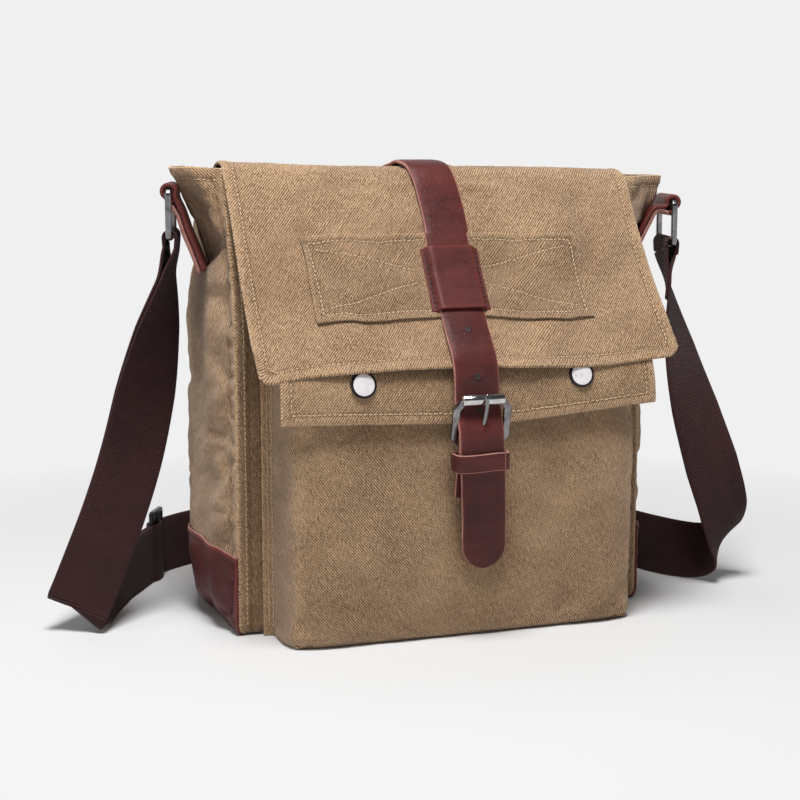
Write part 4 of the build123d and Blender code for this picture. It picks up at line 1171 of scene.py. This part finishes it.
# strip under the strap that carries the buckle, and the keeper
TAB_HALF = 14.0
tab_at, tab_length = line_through([
    (-116.6, 131.0), (-118.3, 133.2), (-120.6, 132.6), (-121.8, 129.8), (-121.6, 126.0), (-120.4, 118.0),
    (-118.4, 106.0), (-116.6, 93.5),
])
def tab_shape(uu, vv):
    y, z = np.moveaxis(tab_at(vv), -1, 0)
    return np.stack([uu + 0.2 - smooth(10, 40, vv), y, z], -1)


tab = Sheet(tab_shape, spaced(-TAB_HALF, TAB_HALF, 2.0, SHORT_STEPS), np.linspace(0, tab_length, 44), DOWN)
cloth_piece("buckle_strip", tab, 2.0, LEATHER, ("buckle_tab",), body="main_flap", edge=LEATHER_EDGE)

KEEPER_CENTRE = (-0.6, -122.4)
KEEPER_X, KEEPER_Y = 16.6, 7.3
KEEPER_ROUND = 3.0
KEEPER_LOW, KEEPER_HIGH = 111.6, 10.2
keeper_path = []
for corner_x, corner_y, start in ((1, -1, -90), (1, 1, 0), (-1, 1, 90), (-1, -1, 180)):
    middle_x = KEEPER_CENTRE[0] + corner_x * (KEEPER_X - KEEPER_ROUND)
    middle_y = KEEPER_CENTRE[1] + corner_y * (KEEPER_Y - KEEPER_ROUND)
    for angle in np.radians(start + 15 * np.arange(7)):
        keeper_path.append((middle_x + KEEPER_ROUND * math.cos(angle), middle_y + KEEPER_ROUND * math.sin(angle)))
keeper_at, keeper_length = line_through(keeper_path + keeper_path[:1])


def keeper_shape(uu, vv):
    x, y = np.moveaxis(keeper_at(np.clip(uu, 0, keeper_length - 0.3)), -1, 0)
    return np.stack([x, y, KEEPER_LOW + vv + 0.35 * np.sin(x / 7.0)], -1)


keeper = Sheet(keeper_shape, np.linspace(keeper_length, 0, 110), [0, 0.4, 1.2, 3, 5, 7, 9.0, 9.8, KEEPER_HIGH])
cloth_piece("keeper_leather", keeper, 1.7, LEATHER, ("strap_keeper",),
            lambda uu, vv: 0.5 * near(np.minimum(vv, KEEPER_HIGH - vv), 0.9), "main_flap", LEATHER_EDGE)


# ---- buckle -------------------------------------------------------------------------------------
def beveled(piece, width, segments=2, angle=35.0):
    """Rounds a hard piece's edges."""
    modifier = piece.modifiers.new("bevel", "BEVEL")
    modifier.width, modifier.segments = width * MM, segments
    modifier.limit_method, modifier.angle_limit = "ANGLE", math.radians(angle)
    modifier.harden_normals = False


def paint_node(node, material):
    """New finish for a CAD node that stays."""
    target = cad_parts[node]
    target.data.materials.clear()
    target.data.materials.append(material)
    return target


AXIS = np.array([0.0, -118.5, 128.0])
ROLLER = np.array([0.0, -124.6, 155.0])
RISE = float(np.linalg.norm(ROLLER - AXIS))
UP = (ROLLER - AXIS) / RISE
OUT = np.array([0.0, -UP[2], UP[1]])
BAR_DEPTH = 1.7


def bar_loop(name, outline, inner, body, material, replaced):
    """Closed ring of bar between two outlines in the buckle's plane."""
    levels = ((outline, -BAR_DEPTH), (outline, BAR_DEPTH), (inner, BAR_DEPTH), (inner, -BAR_DEPTH))
    vertices = [AXIS + np.array([x, 0, 0]) + UP * y + OUT * level for line, level in levels for x, y in line]
    faces = []
    count = len(outline)
    for band in range(4):
        for k in range(count):
            low, high, after = band * count, (band + 1) % 4 * count, (k + 1) % count
            faces.append((low + k, low + after, high + after, high + k))
    mesh = new_mesh(name, vertices, faces)
    mesh.validate()
    beveled(link(name, mesh, body, [material], replaced, smooth_faces=False), 0.9, 3, 25)


def mirrored(half_line):
    """Closed outline from its right half, which goes up."""
    return [(-x, y) for x, y in half_line[:1]] + half_line + [(-x, y) for x, y in half_line[:0:-1]]


half, cut, low, high = 19.2, 5.6, -2.6, RISE + 0.6
outer_line = mirrored([(half - cut, low), (half, low + cut), (half, high - cut), (half - cut + 1.2, high)])
inner_line = mirrored([(half - cut - 1.6, low + 3.4), (half - 4.7, low + cut + 1.4),
                       (half - 4.7, high - cut - 1.2), (half - cut - 1.2, high - 4.2)])
bar_loop("buckle_frame_bar", outer_line, inner_line, "buckle_frame", GUNMETAL, ("buckle_frame",))


def rod(name, path, radii, body, material, replaced, sides=16, flatten=1.0):
    """Round bar along a path, with a radius at each point."""
    path = np.asarray(path, float)
    ahead = unit(np.gradient(path, axis=0))
    helper = (1.0, 0, 0) if abs(ahead[0][0]) < 0.8 else (0, 0, 1.0)
    side = unit(np.cross(ahead, helper))[:, None]
    other = np.cross(ahead, side[:, 0])[:, None]
    turns = TAU * np.arange(sides)[None, :, None] / sides
    rings = path[:, None] + np.reshape(radii, (-1, 1, 1)) * (side * np.cos(turns) * flatten + other * np.sin(turns))
    link(name, new_mesh(name, rings, tube_faces(len(path), sides)), body, [material], replaced)


roller_path = [ROLLER + np.array([x, 0, 0]) for x in (-13.8, -13.6, -13.2, 13.2, 13.6, 13.8)]
rod("buckle_roller_tube", roller_path, (2.8, 3.3, 3.55, 3.55, 3.3, 2.8), "buckle_roller", BRIGHT, ("buckle_roller",),
    32)
tongue_line, tongue_length = line_through([(-121.2, 129.4), (-123.2, 136.5), (-127.0, 144.0), (-129.6, 150.5),
                                           (-130.3, 156.0), (-129.9, 159.4)])
steps = np.linspace(0, tongue_length, 30)
tongue_path = [(0.2 + 0.02 * s, *tongue_line(s)) for s in steps]
tongue_radii = [1.5 - 0.3 * s / tongue_length if s < tongue_length - 1.2 else 0.7 for s in steps]
rod("buckle_tongue_bar", tongue_path, tongue_radii, "buckle_tongue", GUNMETAL, ("buckle_tongue",), 14, 0.8)

# ---- rings, tabs and slider ---------------------------------------------------------------------
RING_TOP = {"left": (-168.5, -12.0, 281.0), "right": (183.0, -12.0, 270.5)}
RING_PITCH = 28.5
TURN = math.radians(15)
STRIP_HALF = 19.0
STRIP_ROUND = 4.0
TURN_ROUND = 3.9
TAB_RUN = {
    "left": [(-3.6, -2.6), (-7.6, -13.0), (-11.6, -25.0), (-16.4, -37.0), (-20.8, -49.0)],
    "right": [(-4.0, -1.8), (-12.6, -4.0), (-19.4, -14.5), (-26.0, -28.0), (-33.5, -42.0)],
}


def arc(radius, first, last, step, up=0.0):
    """Points on a circle about a bar, by degrees."""
    return [(radius * math.cos(a), up + radius * math.sin(a)) for a in np.radians(range(first, last, step))]


def ring_strip(label, line, u, count, flip=1, side=1):
    """Strip whose line lies in the plane across a ring's bars, and which runs along them."""
    at, length = line_through(line)
    way = SIDES[label]
    x, y, z = RING_TOP[label]

    def shape(uu, vv):
        out, up = np.moveaxis(at(vv), -1, 0)
        return np.stack([x + way * math.cos(TURN) * out + math.sin(TURN) * flip * uu,
                         y - way * math.sin(TURN) * out + math.cos(TURN) * flip * uu, z + up], -1)
    return Sheet(shape, u, np.linspace(0, length, count), side)


for label, way in SIDES.items():
    run = TAB_RUN[label]
    strip = ring_strip(label, [(-2.0, -7.0), (1.2, -4.6)] + arc(STRIP_ROUND, -60, 171, 20) + run,
                       spaced(-STRIP_HALF, STRIP_HALF, 2.0, SHORT_STEPS), 90, way)
    cloth_piece(f"ring_strip_{label}", strip, 2.8, LEATHER, (f"ring_tab_{label}",),
                lambda uu, vv: 0.5 * near(STRIP_HALF - np.abs(uu), 1.2))
    under = ring_strip(label, [(-1.2, -8.0)] + [(out + 2.7, up - 1.2) for out, up in run[1:]],
                       spaced(-18.4, 18.4, 2.0, SHORT_STEPS), 60, way)
    cloth_piece(f"ring_under_{label}", under, 2.6, LEATHER_EDGE)
    beveled(paint_node(f"ring_{label}", GUNMETAL), 0.3, 2, 50)

    # webbing turned round the ring's lower bar
    foot = [(RING_SPREAD, -RING_PITCH - 7.2), (3.8, -RING_PITCH - 2.5)]
    turn_line = [(-x, y) for x, y in foot] + arc(TURN_ROUND, 180, -1, -20, -RING_PITCH) + foot[::-1]
    wrap = ring_strip(label, turn_line, spaced(-WEBBING_HALF, WEBBING_HALF, 3.0, (0.5, 1.2)), 60, side=-way)
    cloth_piece(f"strap_turn_{label}", wrap, WEBBING_THICK, WEBBING, body=f"ring_{label}")

beveled(paint_node("strap_slider", RIM), 0.4, 2, 50)
SLIDER = np.array([-161.0, 104.0, 25.5])
SLIDER_AHEAD = np.array([0.4711, 0.8821, 0.0])
SLIDER_OUT = np.array([0.8821, -0.4711, 0.0])
wrap_at, wrap_length = line_through([(-14.0, 1.3), (-10.0, 3.2), (0.0, 3.7), (3.4, 2.6), (4.6, 0.0), (3.4, -2.6),
                                     (0.0, -3.7), (-10.0, -3.2), (-14.0, -1.3)])


def slider_wrap_shape(uu, vv):
    flat = wrap_at(vv)
    up = np.stack([0 * uu, 0 * uu, uu], -1)
    return SLIDER + SLIDER_AHEAD * flat[..., :1] + SLIDER_OUT * flat[..., 1:] + up - np.array([0, 0, 4.5])


slider_wrap = Sheet(slider_wrap_shape, spaced(-WEBBING_HALF, WEBBING_HALF, 3.0, (0.5, 1.2)),
                    np.linspace(0, wrap_length, 50))
cloth_piece("slider_wrap", slider_wrap, WEBBING_THICK, WEBBING, body="strap_slider")
for node, material in (("snap_studs", RIM), ("snap_sockets", RIM), ("magnet_cap", GUNMETAL), ("magnet_base", GUNMETAL),
                       ("base_board", BOARD_AND_HOLE_SHADE)):
    paint_node(node, material)

# ---- floor, light -------------------------------------------------------------------------------
WHITE = 0.871
FRONT_LIGHT = 0.07
FLOOR_GREY = 0.63
FLOOR_HALF = 6.0
world = bpy.data.worlds.new("studio")
scene.world = world
world.use_nodes = True
sky = world.node_tree
way = new_node(sky, "ShaderNodeSeparateXYZ", {0: new_node(sky, "ShaderNodeTexCoord").outputs["Generated"]})
behind = new_node(sky, "ShaderNodeMapRange", {"Value": way.outputs[1], "From Min": 0.25, "From Max": 0.7})
level = new_node(sky, "ShaderNodeMapRange", {"Value": way.outputs[2], "From Min": 0.22, "From Max": 0.09})
bright = new_node(sky, "ShaderNodeMath", {0: behind.outputs[0], 1: level.outputs[0]}, operation="MAXIMUM")
power = new_node(sky, "ShaderNodeMapRange", {"Value": bright.outputs[0], "To Min": FRONT_LIGHT, "To Max": WHITE})
sky.links.new(power.outputs[0], sky.nodes["Background"].inputs[0])
sky.nodes["Background"].inputs[1].default_value = 1.0

corners = [(-FLOOR_HALF, -FLOOR_HALF, 0), (FLOOR_HALF, -FLOOR_HALF, 0), (FLOOR_HALF, FLOOR_HALF, 0),
           (-FLOOR_HALF, FLOOR_HALF, 0)]
floor_mesh = bpy.data.meshes.new("floor")
floor_mesh.from_pydata(corners, [], [(0, 1, 2, 3)])
floor = bpy.data.objects.new("floor", floor_mesh)
scene.collection.objects.link(floor)
p = Paint("floor")
away = p.node("ShaderNodeVectorMath", {0: p.place()}, operation="LENGTH").outputs["Value"]
glow = p.node("ShaderNodeEmission", {"Color": (WHITE, WHITE, WHITE, 1), "Strength": 1.0}).outputs[0]
p.shader.inputs["Base Color"].default_value = (FLOOR_GREY, FLOOR_GREY, FLOOR_GREY, 1)
p.shader.inputs["Roughness"].default_value = 1.0
p.shader.inputs["Specular IOR Level"].default_value = 0.0
blend = p.node("ShaderNodeMixShader", {0: p.spread(away, 0.24, 0.58), 1: p.shader.outputs[0], 2: glow}).outputs[0]
p.tree.links.new(blend, p.tree.nodes["Material Output"].inputs["Surface"])
floor_mesh.materials.append(p.material)


def area_light(name, place, target, size_m, watts):
    """Soft box that looks at a point."""
    lamp = bpy.data.lights.new(name, "AREA")
    lamp.shape, lamp.size, lamp.energy = "SQUARE", size_m, watts
    holder = bpy.data.objects.new(name, lamp)
    scene.collection.objects.link(holder)
    holder.location = place
    holder.rotation_euler = (Vector(target) - Vector(place)).to_track_quat("-Z", "Y").to_euler()
    return holder


area_light("key", (-0.20, -0.48, 1.60), (0.0, -0.05, 0.18), 0.50, 33.5)
area_light("left_fill", (-1.5, -0.25, 0.75), (0.0, 0.0, 0.15), 0.8, 4)
scene.view_settings.view_transform = "Standard"
